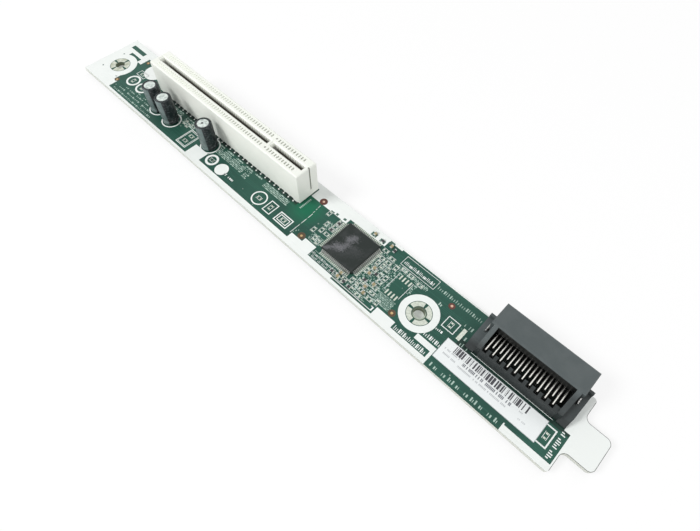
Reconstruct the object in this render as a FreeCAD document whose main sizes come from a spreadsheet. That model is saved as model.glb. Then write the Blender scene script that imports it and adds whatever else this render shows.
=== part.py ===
"""Riser card that turns a vertical expansion slot through to a card-edge connector.

A long two-layer board lies flat.  It carries an ivory expansion slot, a bridge chip with its
small parts, three standing electrolytic capacitors, a right-angle card-edge connector that
overhangs the far edge, a label and two plated mounting holes.  A rounded tab ends the board.

Sketches are drawn in board coordinates: x runs along the board from the end with the first
mounting hole, y runs from the near edge to the far edge, and z = 0 is the component face.
Every body is then moved by the same placement, so that the part's origin is the middle of
its footprint, at the level of the solder tails it rests on.
"""
import FreeCAD, Part
import os
import re
import Sketcher

SIZES = {
    # Board
    "board_length": 232.4,
    "board_width": 26.4,
    "board_thickness": 1.6,
    "board_corner_radius": 1.1,
    "tab_length": 8.8,
    "tab_width": 11.4,
    "tab_edge_distance": 7.7,
    "tab_root_radius": 1.9,
    "tab_tip_radius": 1.8,
    "tail_drop": 1.4,
    "fit_clearance": 0.05,
    "cutter_margin": 1.0,
    # Mounting holes
    "hole_radius": 1.8,
    "hole_end_distance": 9.4,
    "far_hole_end_distance": 53.7,
    "hole_edge_distance": 11.7,
    # Expansion slot
    "slot_left": 36.2,
    "slot_end_margin": 3.685,
    "slot_middle": 19.15,
    "slot_breadth": 9.1,
    "slot_height": 14.2,
    "slot_end_wall": 1.5,
    "slot_edge_chamfer": 0.3,
    "card_gap": 1.9,
    "card_floor": 4.7,
    "card_lead_in": 0.45,
    "key_width": 1.6,
    "contact_pitch": 1.27,
    "long_count": 49,
    "key_positions": 2,
    "short_count": 11,
    "deck_thickness": 2.5,
    "chamber_half_breadth": 1.7,
    "chamber_margin": 0.9,
    "window_offset": 2.75,
    "window_width": 0.62,
    "window_length": 1.35,
    "window_depth": 1.6,
    "foot_height": 0.6,
    "foot_width": 0.5,
    "end_relief_length": 1.3,
    "end_groove_offset": 1.25,
    "end_groove_width": 0.5,
    "end_groove_depth": 0.4,
    "end_groove_bottom": 3.5,
    "peg_width": 1.6,
    "peg_end_distance": 2.3,
    "blade_width": 0.45,
    "blade_thickness": 0.3,
    "blade_root_offset": 1.3,
    "blade_tip_offset": 0.7,
    "blade_tip_height": 10.4,
    # Right-angle card-edge connector
    "connector_end_distance": 19.9,
    "connector_side_margin": 2.88,
    "connector_height": 9.2,
    "connector_depth": 6.1,
    "connector_overhang": 2.3,
    "connector_edge_chamfer": 0.4,
    "terminal_count": 20,
    "terminal_pitch": 1.237,
    "terminal_width": 0.45,
    "terminal_thickness": 0.3,
    "mouth_level": 4.15,
    "mouth_height": 1.8,
    "mouth_side_margin": 0.75,
    "mouth_chamfer": 0.5,
    "cavity_height": 3.4,
    "front_wall": 1.5,
    "terminal_tip_gap": 0.3,
    "terminal_intrusion": 0.1,
    "upper_long_reach": 12.25,
    "upper_short_reach": 10.35,
    "lower_long_reach": 8.8,
    "lower_short_reach": 7.3,
    "cheek_width": 1.45,
    "ear_width": 2.9,
    "ear_overlap": 1.0,
    "ear_reach": 13.5,
    "ear_foot_height": 0.5,
    "ear_slope_length": 2.7,
    "ear_slope_height": 3.3,
    "ear_top_height": 4.9,
    "flange_reach": 3.1,
    "flange_thickness": 0.9,
    "flange_height": 6.4,
    "comb_height": 4.5,
    "comb_depth": 2.1,
    "comb_wall": 0.45,
    "comb_slot_width": 1.4,
    "ledge_height": 1.0,
    "ledge_depth": 0.7,
    "lock_thickness": 0.3,
    "lock_width": 3.0,
    "lock_reach": 7.5,
    "lock_rise": 0.35,
    "lock_outset": 0.05,
    # Bridge chip
    "chip_setback": 2.82,
    "chip_near": 6.9,
    "chip_size": 14.0,
    "chip_top": 1.5,
    "chip_standoff": 0.1,
    "chip_chamfer": 0.35,
    "lead_count": 20,
    "lead_pitch": 0.65,
    "lead_width": 0.3,
    "lead_reach": 1.0,
    "lead_shoulder": 0.35,
    "lead_level": 0.75,
    "lead_thickness": 0.15,
    # Electrolytic capacitors
    "capacitor_radius": 3.15,
    "capacitor_height": 11.5,
    "capacitor_top_chamfer": 0.4,
    "crimp_level": 2.05,
    "crimp_height": 1.0,
    "crimp_depth": 0.3,
    "wire_width": 0.5,
    "wire_spacing": 2.5,
    # Chip resistors and chip capacitors
    "chip_part_length": 1.6,
    "chip_part_width": 0.85,
    "resistor_height": 0.45,
    "ceramic_height": 0.75,
    "terminal_cap_length": 0.3,
    # Label
    "label_end_distance": 6.8,
    "label_ear_gap": 1.2,
    "label_length": 35.4,
    "label_width": 7.8,
    "label_thickness": 0.1,
}

# Capacitors: distance along the board from the slot's left end, and from the near edge.
CAPACITOR_PLACES = {
    1: (8.2, 7.9),
    2: (17.4, 7.4),
    3: (39.5, 9.7),
}

# Middles of the small parts, from the bridge chip's middle, by the direction they run in.
RESISTORS_ALONG_X = [(12.85, -1.4), (11.55, -5.4), (9.55, -10.9), (1.55, -10.5), (-10.05, 0.7)]
RESISTORS_ALONG_Y = [(11.15, 9.5), (6.95, -10.7), (5.65, 9.7), (-10.05, 4.4)]
CERAMICS_ALONG_X = [(14.85, -4.7), (10.95, -2.7), (10.95, 0.0), (4.35, -9.0), (4.35, -10.6), (14.45, -9.3)]
CERAMICS_ALONG_Y = [(9.35, 10.1), (13.25, -7.3), (1.95, 10.1)]

POSITIONS = "(long_count + key_positions + short_count)"
SLOT_LENGTH = f"(({POSITIONS} - 1) * contact_pitch + 2 * slot_end_margin)"
FIRST_CONTACT = "(slot_left + slot_end_margin)"
SHORT_CONTACT = f"({FIRST_CONTACT} + (long_count + key_positions) * contact_pitch)"
KEY_CENTRE = f"({FIRST_CONTACT} + (long_count + (key_positions - 1) / 2) * contact_pitch)"
FAR_HOLE = "(board_length - far_hole_end_distance)"
CHIP_MIDDLE = f"((slot_left + {SLOT_LENGTH} + {FAR_HOLE}) / 2 - chip_setback)"
CHIP_LEFT = f"({CHIP_MIDDLE} - chip_size / 2)"
CHIP_CENTRE_Y = "(chip_near + chip_size / 2)"
CONNECTOR_MIDDLE = "(board_length - connector_end_distance)"
CONNECTOR_WIDTH = "(terminal_count * terminal_pitch + 2 * connector_side_margin)"
CONNECTOR_FRONT = "(board_width + connector_overhang)"
CONNECTOR_BACK = "(board_width - connector_depth)"
EAR_BACK = "(board_width - ear_reach)"
FLANGE_BACK = "(board_width - flange_reach)"
FIRST_TERMINAL = f"({CONNECTOR_MIDDLE} - (terminal_count - 1) * terminal_pitch / 2)"
EAR_OUTSIDE = f"({CONNECTOR_WIDTH} / 2 + ear_width - ear_overlap)"
LOCK_OFFSET = f"({CONNECTOR_WIDTH} / 2 + lock_outset)"
LOCK_MIDDLE = "(board_width - lock_reach + lock_width / 2)"
TAIL_BOTTOM = "(board_thickness + tail_drop)"

DOC = FreeCAD.newDocument("riser_card")
SUB_PARTS = []


# ---------------------------------------------------------------- sheet and expressions

def make_sheet():
    """Put every driving size in a sheet cell under its own alias."""
    sheet = DOC.addObject("Spreadsheet::Sheet", "Sizes")
    for row, (alias, number) in enumerate(SIZES.items(), start=1):
        sheet.set(f"A{row}", alias)
        sheet.set(f"B{row}", str(number))
        sheet.setAlias(f"B{row}", alias)
    DOC.recompute()


def sized(expression):
    """Turn size names in an expression into references to the sheet."""
    return re.sub(r"[a-z_]{3,}", lambda word: "Sizes." + word.group(), str(expression))


def number_of(expression):
    """Work out an expression from the sheet as a plain number."""
    return float(DOC.Sizes.evalExpression(sized(expression)))


def bind(thing, prop, expression):
    """Bind a property to an expression of sheet sizes."""
    thing.setExpression(prop, sized(expression))


# ---------------------------------------------------------------- bodies and sketches

def place(sub_part, x, y):
    """Move a sub-part from board coordinates to the part's own origin."""
    bind(sub_part, "Placement.Base.x", f"{x} - (board_length + tab_length) / 2")
    bind(sub_part, "Placement.Base.y", f"{y} - {CONNECTOR_FRONT} / 2")
    bind(sub_part, "Placement.Base.z", TAIL_BOTTOM)


def new_body(label, x="0", y="0"):
    """Start a sub-part whose sketches are drawn from board point (x, y)."""
    body = DOC.addObject("PartDesign::Body", label)
    body.Label = label
    place(body, x, y)
    SUB_PARTS.append(body)
    return body


def origin_feature(body, role):
    """Find one of the body's own origin planes or axes."""
    return next(item for item in body.Origin.OriginFeatures if item.Role == role)


def new_sketch(body, name, plane="XY_Plane", offset="0"):
    """Start a sketch on one of the body's origin planes, moved along its normal."""
    sketch = body.newObject("Sketcher::SketchObject", name)
    sketch.AttachmentSupport = [(origin_feature(body, plane), "")]
    sketch.MapMode = "FlatFace"
    bind(sketch, "AttachmentOffset.Base.z", offset)
    return sketch


def fix_point(sketch, geometry, end, x, y):
    """Hold a sketch point at expressions x, y from the sketch's origin."""
    for kind, expression in (("DistanceX", x), ("DistanceY", y)):
        start = number_of(expression)
        index = sketch.addConstraint(Sketcher.Constraint(kind, -1, 1, geometry, end, start))
        bind(sketch, f"Constraints[{index}]", expression)


def draw_outline(sketch, points):
    """Draw a closed outline of straight lines through points given as expressions."""
    corners = [FreeCAD.Vector(number_of(x), number_of(y), 0) for x, y in points]
    lines = []
    for index, corner in enumerate(corners):
        end = corners[(index + 1) % len(corners)]
        lines.append(sketch.addGeometry(Part.LineSegment(corner, end), False))
    for index, line in enumerate(lines):
        following = lines[(index + 1) % len(lines)]
        sketch.addConstraint(Sketcher.Constraint("Coincident", line, 2, following, 1))
        fix_point(sketch, line, 1, *points[index])


def draw_box(sketch, x, y, length, width):
    """Draw a rectangle from its near-left corner."""
    right = f"({x}) + ({length})"
    far = f"({y}) + ({width})"
    draw_outline(sketch, [(x, y), (right, y), (right, far), (x, far)])


def draw_centred_box(sketch, x, y, length, width):
    """Draw a rectangle from its middle."""
    draw_box(sketch, f"({x}) - ({length}) / 2", f"({y}) - ({width}) / 2", length, width)


def draw_circle(sketch, x, y, radius):
    """Draw a circle whose middle and radius are expressions."""
    middle = FreeCAD.Vector(number_of(x), number_of(y), 0)
    circle = Part.Circle(middle, FreeCAD.Vector(0, 0, 1), number_of(radius))
    geometry = sketch.addGeometry(circle, False)
    fix_point(sketch, geometry, 3, x, y)
    start = number_of(radius)
    index = sketch.addConstraint(Sketcher.Constraint("Radius", geometry, start))
    bind(sketch, f"Constraints[{index}]", radius)


# ---------------------------------------------------------------- features

def pad(body, sketch, length, reverse=False):
    """Pad a sketch along its normal, or against it."""
    feature = body.newObject("PartDesign::Pad", sketch.Name + "_pad")
    feature.Profile = sketch
    feature.Reversed = reverse
    bind(feature, "Length", length)
    return feature


def pocket(body, sketch, depth=None, reverse=False):
    """Cut a sketch against its normal, to a depth or through everything."""
    feature = body.newObject("PartDesign::Pocket", sketch.Name + "_pocket")
    feature.Profile = sketch
    feature.Reversed = reverse
    if depth is None:
        feature.Type = "ThroughAll"
    else:
        bind(feature, "Length", depth)
    return feature


def revolve(body, sketch):
    """Turn a sketch on the XZ plane about the body's z axis."""
    feature = body.newObject("PartDesign::Revolution", sketch.Name + "_turned")
    feature.Profile = sketch
    feature.ReferenceAxis = (origin_feature(body, "Z_Axis"), [""])
    feature.Angle = 360
    return feature


def repeat(body, feature, count, pitch, axis="X_Axis"):
    """Repeat a feature along an axis at an even pitch."""
    pattern = body.newObject("PartDesign::LinearPattern", feature.Name + "_row")
    pattern.Originals = [feature]
    pattern.Direction = (origin_feature(body, axis), [""])
    bind(pattern, "Length", f"(({count}) - 1) * ({pitch})")
    bind(pattern, "Occurrences", count)
    body.Tip = pattern
    return pattern


def dress(body, kind, base, edge_test, size):
    """Fillet or chamfer the edges of a feature whose two ends both pass a test."""
    DOC.recompute()
    names = []
    for index, edge in enumerate(base.Shape.Edges, start=1):
        if all(edge_test(vertex.Point) for vertex in edge.Vertexes):
            names.append(f"Edge{index}")
    feature = body.newObject("PartDesign::" + kind, base.Name + "_" + kind.lower())
    feature.Base = (base, names)
    bind(feature, "Radius" if kind == "Fillet" else "Size", size)
    return feature


def near(value, expression):
    """Say whether a coordinate lies at an expression's value."""
    return abs(value - number_of(expression)) < 0.001


# ---------------------------------------------------------------- board

def make_board():
    """The board: outline with its tab, then every hole that something passes through."""
    body = new_body("circuit_board")
    tab_far = "(tab_edge_distance + tab_width)"
    end = "(board_length + tab_length)"
    outline = new_sketch(body, "board_outline")
    draw_outline(outline, [
        ("0", "0"), ("board_length", "0"),
        ("board_length", "tab_edge_distance"), (end, "tab_edge_distance"),
        (end, tab_far), ("board_length", tab_far),
        ("board_length", "board_width"), ("0", "board_width"),
    ])
    slab = pad(body, outline, "board_thickness", reverse=True)

    def at_tab_root(point):
        return near(point.x, "board_length") and (
            near(point.y, "tab_edge_distance") or near(point.y, tab_far))

    def at_tab_tip(point):
        return near(point.x, end)

    def at_end_corner(point):
        return near(point.x, "board_length") and (near(point.y, "0") or near(point.y, "board_width"))

    def upright(feature, corner_test):
        """Keep to edges that stand through the board at the wanted corners."""
        DOC.recompute()
        names = []
        for index, edge in enumerate(feature.Shape.Edges, start=1):
            ends = [vertex.Point for vertex in edge.Vertexes]
            stands = len(ends) == 2 and abs(ends[0].z - ends[1].z) > 0.5
            if stands and corner_test(ends[0]):
                names.append(f"Edge{index}")
        return names

    for test, radius in ((at_tab_root, "tab_root_radius"), (at_tab_tip, "tab_tip_radius"),
                         (at_end_corner, "board_corner_radius")):
        names = upright(slab, test)
        rounded = body.newObject("PartDesign::Fillet", radius + "_fillet")
        rounded.Base = (slab, names)
        bind(rounded, "Radius", radius)
        slab = rounded

    holes = new_sketch(body, "round_holes")
    draw_circle(holes, "hole_end_distance", "hole_edge_distance", "hole_radius")
    draw_circle(holes, FAR_HOLE, "hole_edge_distance", "hole_radius")
    pocket(body, holes)

    pegs = new_sketch(body, "peg_holes")
    for peg_x in slot_peg_places():
        draw_centred_box(pegs, peg_x, "slot_middle", "peg_width + 2 * fit_clearance",
                         "peg_width + 2 * fit_clearance")
    pocket(body, pegs)

    wires = new_sketch(body, "wire_holes")
    for x, y in CAPACITOR_PLACES.values():
        for side in ("-", "+"):
            draw_centred_box(wires, f"slot_left + {x} {side} wire_spacing / 2", f"{y}",
                             "wire_width + 2 * fit_clearance", "wire_width + 2 * fit_clearance")
    pocket(body, wires)

    locks = new_sketch(body, "lock_slots")
    for side in ("-", "+"):
        draw_centred_box(locks, f"{CONNECTOR_MIDDLE} {side} {LOCK_OFFSET}", LOCK_MIDDLE,
                         "lock_thickness + 2 * fit_clearance", "lock_width + 2 * fit_clearance")
    pocket(body, locks)

    for name, start, legs in (("odd", "0", ("upper_long_reach", "lower_long_reach")),
                              ("even", "terminal_pitch", ("upper_short_reach", "lower_short_reach"))):
        tails = new_sketch(body, f"{name}_tail_holes")
        for leg in legs:
            draw_centred_box(tails, f"{FIRST_TERMINAL} + {start}", f"board_width - {leg}",
                             "terminal_width + 2 * fit_clearance",
                             "terminal_thickness + 2 * fit_clearance")
        repeat(body, pocket(body, tails), "terminal_count / 2", "2 * terminal_pitch")


# ---------------------------------------------------------------- expansion slot

def slot_peg_places():
    """Where the slot's two locating pegs stand along the board."""
    return ["slot_left + peg_end_distance", f"slot_left + {SLOT_LENGTH} - peg_end_distance"]


def make_slot_housing():
    """The moulded slot: keyed card gap, contact chambers, windows, feet and pegs."""
    body = new_body("slot_housing")
    base = new_sketch(body, "slot_base")
    draw_box(base, "slot_left", "slot_middle - slot_breadth / 2", SLOT_LENGTH, "slot_breadth")
    pad(body, base, "slot_height")

    chambers = new_sketch(body, "contact_chambers", offset="slot_height - deck_thickness")
    for first, count in ((FIRST_CONTACT, "long_count"), (SHORT_CONTACT, "short_count")):
        length = f"(({count} - 1) * contact_pitch + 2 * chamber_margin)"
        draw_centred_box(chambers, f"{first} - chamber_margin + {length} / 2", "slot_middle",
                         length, "2 * chamber_half_breadth")
    pocket(body, chambers, "slot_height - deck_thickness - card_floor")

    gap = new_sketch(body, "card_slot", offset="slot_height")
    left = "slot_left + slot_end_wall"
    right = f"slot_left + {SLOT_LENGTH} - slot_end_wall"
    key_left = f"{KEY_CENTRE} - key_width / 2"
    key_right = f"{KEY_CENTRE} + key_width / 2"
    near_wall = "slot_middle - card_gap / 2"
    draw_box(gap, left, near_wall, f"({key_left}) - ({left})", "card_gap")
    draw_box(gap, key_right, near_wall, f"({right}) - ({key_right})", "card_gap")
    opened = pocket(body, gap, "slot_height - card_floor")

    def at_mouth(point):
        return near(point.z, "slot_height") and abs(point.y - number_of("slot_middle")) < 2

    def at_top_rim(point):
        on_side = near(abs(point.y - number_of("slot_middle")), "slot_breadth / 2")
        return near(point.z, "slot_height") and on_side

    mouth = dress(body, "Chamfer", opened, at_mouth, "card_lead_in")
    dress(body, "Chamfer", mouth, at_top_rim, "slot_edge_chamfer")

    grooves = new_sketch(body, "end_grooves", offset="slot_height")
    groove_y = "slot_middle + end_groove_offset - end_groove_width / 2"
    draw_box(grooves, "slot_left", groove_y, "end_groove_depth", "end_groove_width")
    draw_box(grooves, f"slot_left + {SLOT_LENGTH} - end_groove_depth", groove_y,
             "end_groove_depth", "end_groove_width")
    pocket(body, grooves, "slot_height - end_groove_bottom")

    pegs = new_sketch(body, "slot_pegs")
    for peg_x in slot_peg_places():
        draw_centred_box(pegs, peg_x, "slot_middle", "peg_width", "peg_width")
    pad(body, pegs, TAIL_BOTTOM, reverse=True)

    reliefs = new_sketch(body, "end_reliefs", plane="XZ_Plane")
    draw_box(reliefs, "slot_left - cutter_margin", "0", "end_relief_length + cutter_margin",
             "foot_height")
    draw_box(reliefs, f"slot_left + {SLOT_LENGTH} - end_relief_length", "0",
             "end_relief_length + cutter_margin", "foot_height")
    pocket(body, reliefs)
    tunnel = new_sketch(body, "foot_gap", plane="XZ_Plane")
    draw_centred_box(tunnel, f"{FIRST_CONTACT} + contact_pitch / 2", "foot_height / 2",
                     "2 * contact_pitch - foot_width", "foot_height")
    cut = pocket(body, tunnel)
    repeat(body, cut, f"{POSITIONS} / 2", "2 * contact_pitch")

    for name, first, count in (("short", SHORT_CONTACT, "short_count"),
                               ("long", FIRST_CONTACT, "long_count")):
        windows = new_sketch(body, f"{name}_windows", offset="slot_height")
        for side in ("-", "+"):
            draw_centred_box(windows, first, f"slot_middle {side} window_offset",
                             "window_width", "window_length")
        repeat(body, pocket(body, windows, "window_depth"), count, "contact_pitch")


def make_slot_contacts(label, side):
    """One side's contacts: each blade stands in its chamber and leans in to the card gap."""
    body = new_body(label)
    for name, first, count in (("long", FIRST_CONTACT, "long_count"),
                               ("short", SHORT_CONTACT, "short_count")):
        profile = new_sketch(body, f"{label}_{name}", plane="YZ_Plane",
                             offset=f"{first} - blade_width / 2")
        draw_outline(profile, [
            (f"slot_middle {side} blade_root_offset", "card_floor"),
            (f"slot_middle {side} (blade_root_offset + blade_thickness)", "card_floor"),
            (f"slot_middle {side} (blade_tip_offset + blade_thickness)", "blade_tip_height"),
            (f"slot_middle {side} blade_tip_offset", "blade_tip_height"),
        ])
        repeat(body, pad(body, profile, "blade_width"), count, "contact_pitch")


# ---------------------------------------------------------------- card-edge connector

def make_connector_housing():
    """The moulding: hollow block, open back between cheeks, tail comb, flanged ears."""
    body = new_body("connector_housing")
    half = f"{CONNECTOR_WIDTH} / 2"
    block = new_sketch(body, "connector_block")
    draw_box(block, f"{CONNECTOR_MIDDLE} - {half}", CONNECTOR_BACK, CONNECTOR_WIDTH,
             f"{CONNECTOR_FRONT} - {CONNECTOR_BACK}")
    solid = pad(body, block, "connector_height")

    def at_top_front(point):
        return near(point.z, "connector_height")

    dress(body, "Chamfer", solid, at_top_front, "connector_edge_chamfer")

    ear_profile = [
        (EAR_BACK, "0"), (EAR_BACK, "ear_foot_height"),
        (f"{EAR_BACK} + ear_slope_length", "ear_slope_height"),
        (FLANGE_BACK, "ear_top_height"), (FLANGE_BACK, "flange_height"),
        (f"{FLANGE_BACK} + flange_thickness", "flange_height"),
        (f"{FLANGE_BACK} + flange_thickness", "0"),
    ]
    cheek_profile = [
        (f"{EAR_BACK} + comb_wall", "0"), (f"{EAR_BACK} + comb_wall", "comb_height"),
        (CONNECTOR_BACK, "connector_height - connector_edge_chamfer"), (CONNECTOR_BACK, "0"),
    ]
    inner = f"({EAR_OUTSIDE} - ear_width - cheek_width)"
    for name, ear_start, cheek_start in (
            ("left", f"- {EAR_OUTSIDE}", f"- {EAR_OUTSIDE} + ear_width"),
            ("right", f"+ {EAR_OUTSIDE} - ear_width", f"+ {inner}")):
        ear = new_sketch(body, f"{name}_ear", plane="YZ_Plane",
                         offset=f"{CONNECTOR_MIDDLE} {ear_start}")
        draw_outline(ear, ear_profile)
        pad(body, ear, "ear_width")
        cheek = new_sketch(body, f"{name}_cheek", plane="YZ_Plane",
                           offset=f"{CONNECTOR_MIDDLE} {cheek_start}")
        draw_outline(cheek, cheek_profile)
        pad(body, cheek, "cheek_width")

    comb = new_sketch(body, "tail_comb")
    draw_centred_box(comb, CONNECTOR_MIDDLE, f"{EAR_BACK} + comb_depth / 2", f"2 * {inner}",
                     "comb_depth")
    pad(body, comb, "comb_height")
    ledge = new_sketch(body, "back_ledge")
    draw_centred_box(ledge, CONNECTOR_MIDDLE, f"{CONNECTOR_BACK} - ledge_depth / 2",
                     f"2 * {inner}", "ledge_depth")
    pad(body, ledge, "ledge_height")

    notch = new_sketch(body, "comb_notch", offset="comb_height")
    draw_box(notch, f"{FIRST_TERMINAL} - comb_slot_width / 2", f"{EAR_BACK} + comb_wall",
             "comb_slot_width", "comb_depth - comb_wall")
    repeat(body, pocket(body, notch), "terminal_count / 2", "2 * terminal_pitch")

    cavity = new_sketch(body, "terminal_cavity", plane="XZ_Plane", offset=f"-{CONNECTOR_BACK}")
    draw_centred_box(cavity, CONNECTOR_MIDDLE, "mouth_level", f"2 * {inner}", "cavity_height")
    pocket(body, cavity, f"{CONNECTOR_FRONT} - {CONNECTOR_BACK} - front_wall")

    mouth = new_sketch(body, "card_mouth", plane="XZ_Plane", offset=f"-{CONNECTOR_FRONT}")
    draw_centred_box(mouth, CONNECTOR_MIDDLE, "mouth_level",
                     "terminal_count * terminal_pitch + 2 * mouth_side_margin", "mouth_height")
    opened = pocket(body, mouth, "front_wall", reverse=True)

    def at_mouth(point):
        inside = abs(point.z - number_of("mouth_level")) < number_of("mouth_height")
        return near(point.y, CONNECTOR_FRONT) and inside

    dress(body, "Chamfer", opened, at_mouth, "mouth_chamfer")

    slots = new_sketch(body, "ear_slots", offset="flange_height")
    for side in ("-", "+"):
        draw_centred_box(slots, f"{CONNECTOR_MIDDLE} {side} {LOCK_OFFSET}", LOCK_MIDDLE,
                         "lock_thickness + 2 * fit_clearance", "lock_width + 2 * fit_clearance")
    pocket(body, slots)


def make_terminals(label, start, level_side, leg_reach):
    """Every second terminal of a row: a beam from the card mouth, then a leg to the board."""
    body = new_body(label)
    reach = "(mouth_height / 2 - terminal_intrusion)"
    if level_side == "+":
        bottom = f"(mouth_level + {reach})"
        top = f"({bottom} + terminal_thickness)"
    else:
        top = f"(mouth_level - {reach})"
        bottom = f"({top} - terminal_thickness)"
    tip = f"({CONNECTOR_FRONT} - front_wall - terminal_tip_gap)"
    leg = f"(board_width - {leg_reach})"
    back = f"({leg} - terminal_thickness / 2)"
    front = f"({leg} + terminal_thickness / 2)"
    profile = new_sketch(body, f"{label}_profile", plane="YZ_Plane",
                         offset=f"{FIRST_TERMINAL} + {start} - terminal_width / 2")
    draw_outline(profile, [
        (back, f"-{TAIL_BOTTOM}"), (front, f"-{TAIL_BOTTOM}"), (front, bottom),
        (tip, bottom), (tip, top), (back, top),
    ])
    repeat(body, pad(body, profile, "terminal_width"), "terminal_count / 2", "2 * terminal_pitch")


def make_board_locks():
    """Two sheet-metal blades that hold the connector's ears down on the board."""
    body = new_body("connector_board_locks")
    blades = new_sketch(body, "lock_blades", offset=f"-{TAIL_BOTTOM}")
    for side in ("-", "+"):
        draw_centred_box(blades, f"{CONNECTOR_MIDDLE} {side} {LOCK_OFFSET}", LOCK_MIDDLE,
                         "lock_thickness", "lock_width")
    pad(body, blades, f"{TAIL_BOTTOM} + ear_top_height + lock_rise")


# ---------------------------------------------------------------- bridge chip

def make_chip_body():
    """The moulded package, chamfered round its top."""
    body = new_body("bridge_chip_body")
    square = new_sketch(body, "package", offset="chip_standoff")
    draw_box(square, CHIP_LEFT, "chip_near", "chip_size", "chip_size")
    block = pad(body, square, "chip_top - chip_standoff")
    dress(body, "Chamfer", block, lambda point: near(point.z, "chip_top"), "chip_chamfer")


def make_chip_leads():
    """Gull-wing leads on all four sides, each row drawn once and repeated."""
    body = new_body("bridge_chip_leads")
    span = "(lead_count - 1) * lead_pitch"
    chip_right = f"({CHIP_LEFT} + chip_size)"
    chip_far = "(chip_near + chip_size)"
    rows = [
        ("near_leads", "YZ_Plane", CHIP_LEFT, "chip_near", "-", "X_Axis"),
        ("far_leads", "YZ_Plane", CHIP_LEFT, chip_far, "+", "X_Axis"),
        ("left_leads", "XZ_Plane", "chip_near", CHIP_LEFT, "-", "Y_Axis"),
        ("right_leads", "XZ_Plane", "chip_near", chip_right, "+", "Y_Axis"),
    ]
    for name, plane, row_start, edge, side, axis in rows:
        first = f"({row_start} + (chip_size - {span}) / 2)"
        offset = f"{first} - lead_width / 2" if plane == "YZ_Plane" else f"-({first} - lead_width / 2)"
        profile = new_sketch(body, name, plane=plane, offset=offset)
        draw_outline(profile, [
            (edge, "lead_level"),
            (edge, "lead_level + lead_thickness"),
            (f"{edge} {side} lead_shoulder", "lead_level + lead_thickness"),
            (f"{edge} {side} lead_reach", "0"),
            (f"{edge} {side} (lead_shoulder + lead_thickness)", "0"),
            (f"{edge} {side} (lead_shoulder - lead_thickness)", "lead_level"),
        ])
        lead = pad(body, profile, "lead_width", reverse=plane == "XZ_Plane")
        repeat(body, lead, "lead_count", "lead_pitch", axis)


# ---------------------------------------------------------------- electrolytic capacitors

def make_capacitor(number, x, y):
    """One radial capacitor: the sleeved can standing on the board, and its two wires."""
    can = new_body(f"capacitor_can_{number}", f"slot_left + {x}", f"{y}")
    profile = new_sketch(can, f"can_profile_{number}", plane="XZ_Plane")
    draw_outline(profile, [
        ("0", "0"), ("capacitor_radius", "0"),
        ("capacitor_radius", "crimp_level - crimp_height / 2"),
        ("capacitor_radius - crimp_depth", "crimp_level"),
        ("capacitor_radius", "crimp_level + crimp_height / 2"),
        ("capacitor_radius", "capacitor_height - capacitor_top_chamfer"),
        ("capacitor_radius - capacitor_top_chamfer", "capacitor_height"), ("0", "capacitor_height"),
    ])
    revolve(can, profile)

    wires = new_body(f"capacitor_wires_{number}", f"slot_left + {x}", f"{y}")
    pair = new_sketch(wires, f"wire_pair_{number}")
    for side in ("-", ""):
        draw_centred_box(pair, f"{side}wire_spacing / 2", "0", "wire_width", "wire_width")
    pad(wires, pair, TAIL_BOTTOM, reverse=True)


# ---------------------------------------------------------------- small parts and label

def new_box(name, x, y, length, width, height):
    """One block standing on the board, its middle given from the bridge chip's."""
    box = DOC.addObject("Part::Box", name)
    bind(box, "Length", length)
    bind(box, "Width", width)
    bind(box, "Height", height)
    bind(box, "Placement.Base.x", f"{CHIP_MIDDLE} + {x} - ({length}) / 2")
    bind(box, "Placement.Base.y", f"{CHIP_CENTRE_Y} + {y} - ({width}) / 2")
    return box


def gather(label, boxes):
    """Join separate blocks in one sub-part, moved as every body is."""
    group = DOC.addObject("Part::Compound", label)
    group.Label = label
    group.Links = boxes
    place(group, "0", "0")
    SUB_PARTS.append(group)


def make_small_parts(kind, along_x, along_y, height):
    """The ceramic middles of the small parts and, as another node, their end caps."""
    inner = "(chip_part_length - 2 * terminal_cap_length)"
    shift = "(chip_part_length - terminal_cap_length) / 2"
    middles = []
    caps = []
    for x, y in along_x:
        middles.append(new_box(f"{kind}_middle", x, y, inner, "chip_part_width", height))
        for side in ("-", "+"):
            caps.append(new_box(f"{kind}_cap", f"{x} {side} {shift}", y, "terminal_cap_length",
                                "chip_part_width", height))
    for x, y in along_y:
        middles.append(new_box(f"{kind}_middle", x, y, "chip_part_width", inner, height))
        for side in ("-", "+"):
            caps.append(new_box(f"{kind}_cap", x, f"{y} {side} {shift}", "chip_part_width",
                                "terminal_cap_length", height))
    gather(f"{kind}_bodies", middles)
    gather(f"{kind}_end_caps", caps)


def make_label():
    """The stuck-on paper label beside the connector."""
    body = new_body("barcode_label")
    sheet = new_sketch(body, "label_sheet")
    draw_box(sheet, "board_length - label_end_distance - label_length",
             f"{EAR_BACK} - label_ear_gap - label_width", "label_length", "label_width")
    pad(body, sheet, "label_thickness")


# ---------------------------------------------------------------- checks and export

def check_document():
    """Stop if any object failed, a cut removed nothing, or a sub-part is not sound."""
    DOC.recompute()
    for item in DOC.Objects:
        if "Invalid" in item.State or "Error" in item.State:
            raise RuntimeError(f"{item.Label} did not build: {item.State}")
        if item.TypeId == "PartDesign::Pocket":
            if item.Shape.Volume >= item.BaseFeature.Shape.Volume - 0.0001:
                raise RuntimeError(f"{item.Label} cuts nothing")
    for body in SUB_PARTS:
        if body.Shape.isNull() or not body.Shape.isValid():
            raise RuntimeError(f"{body.Label} is not a sound shape")


def export_parts():
    """Write each sub-part to its own STEP file."""
    os.makedirs("parts", exist_ok=True)
    for body in SUB_PARTS:
        body.Shape.exportStep(f"parts/{body.Label}.step")


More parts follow.
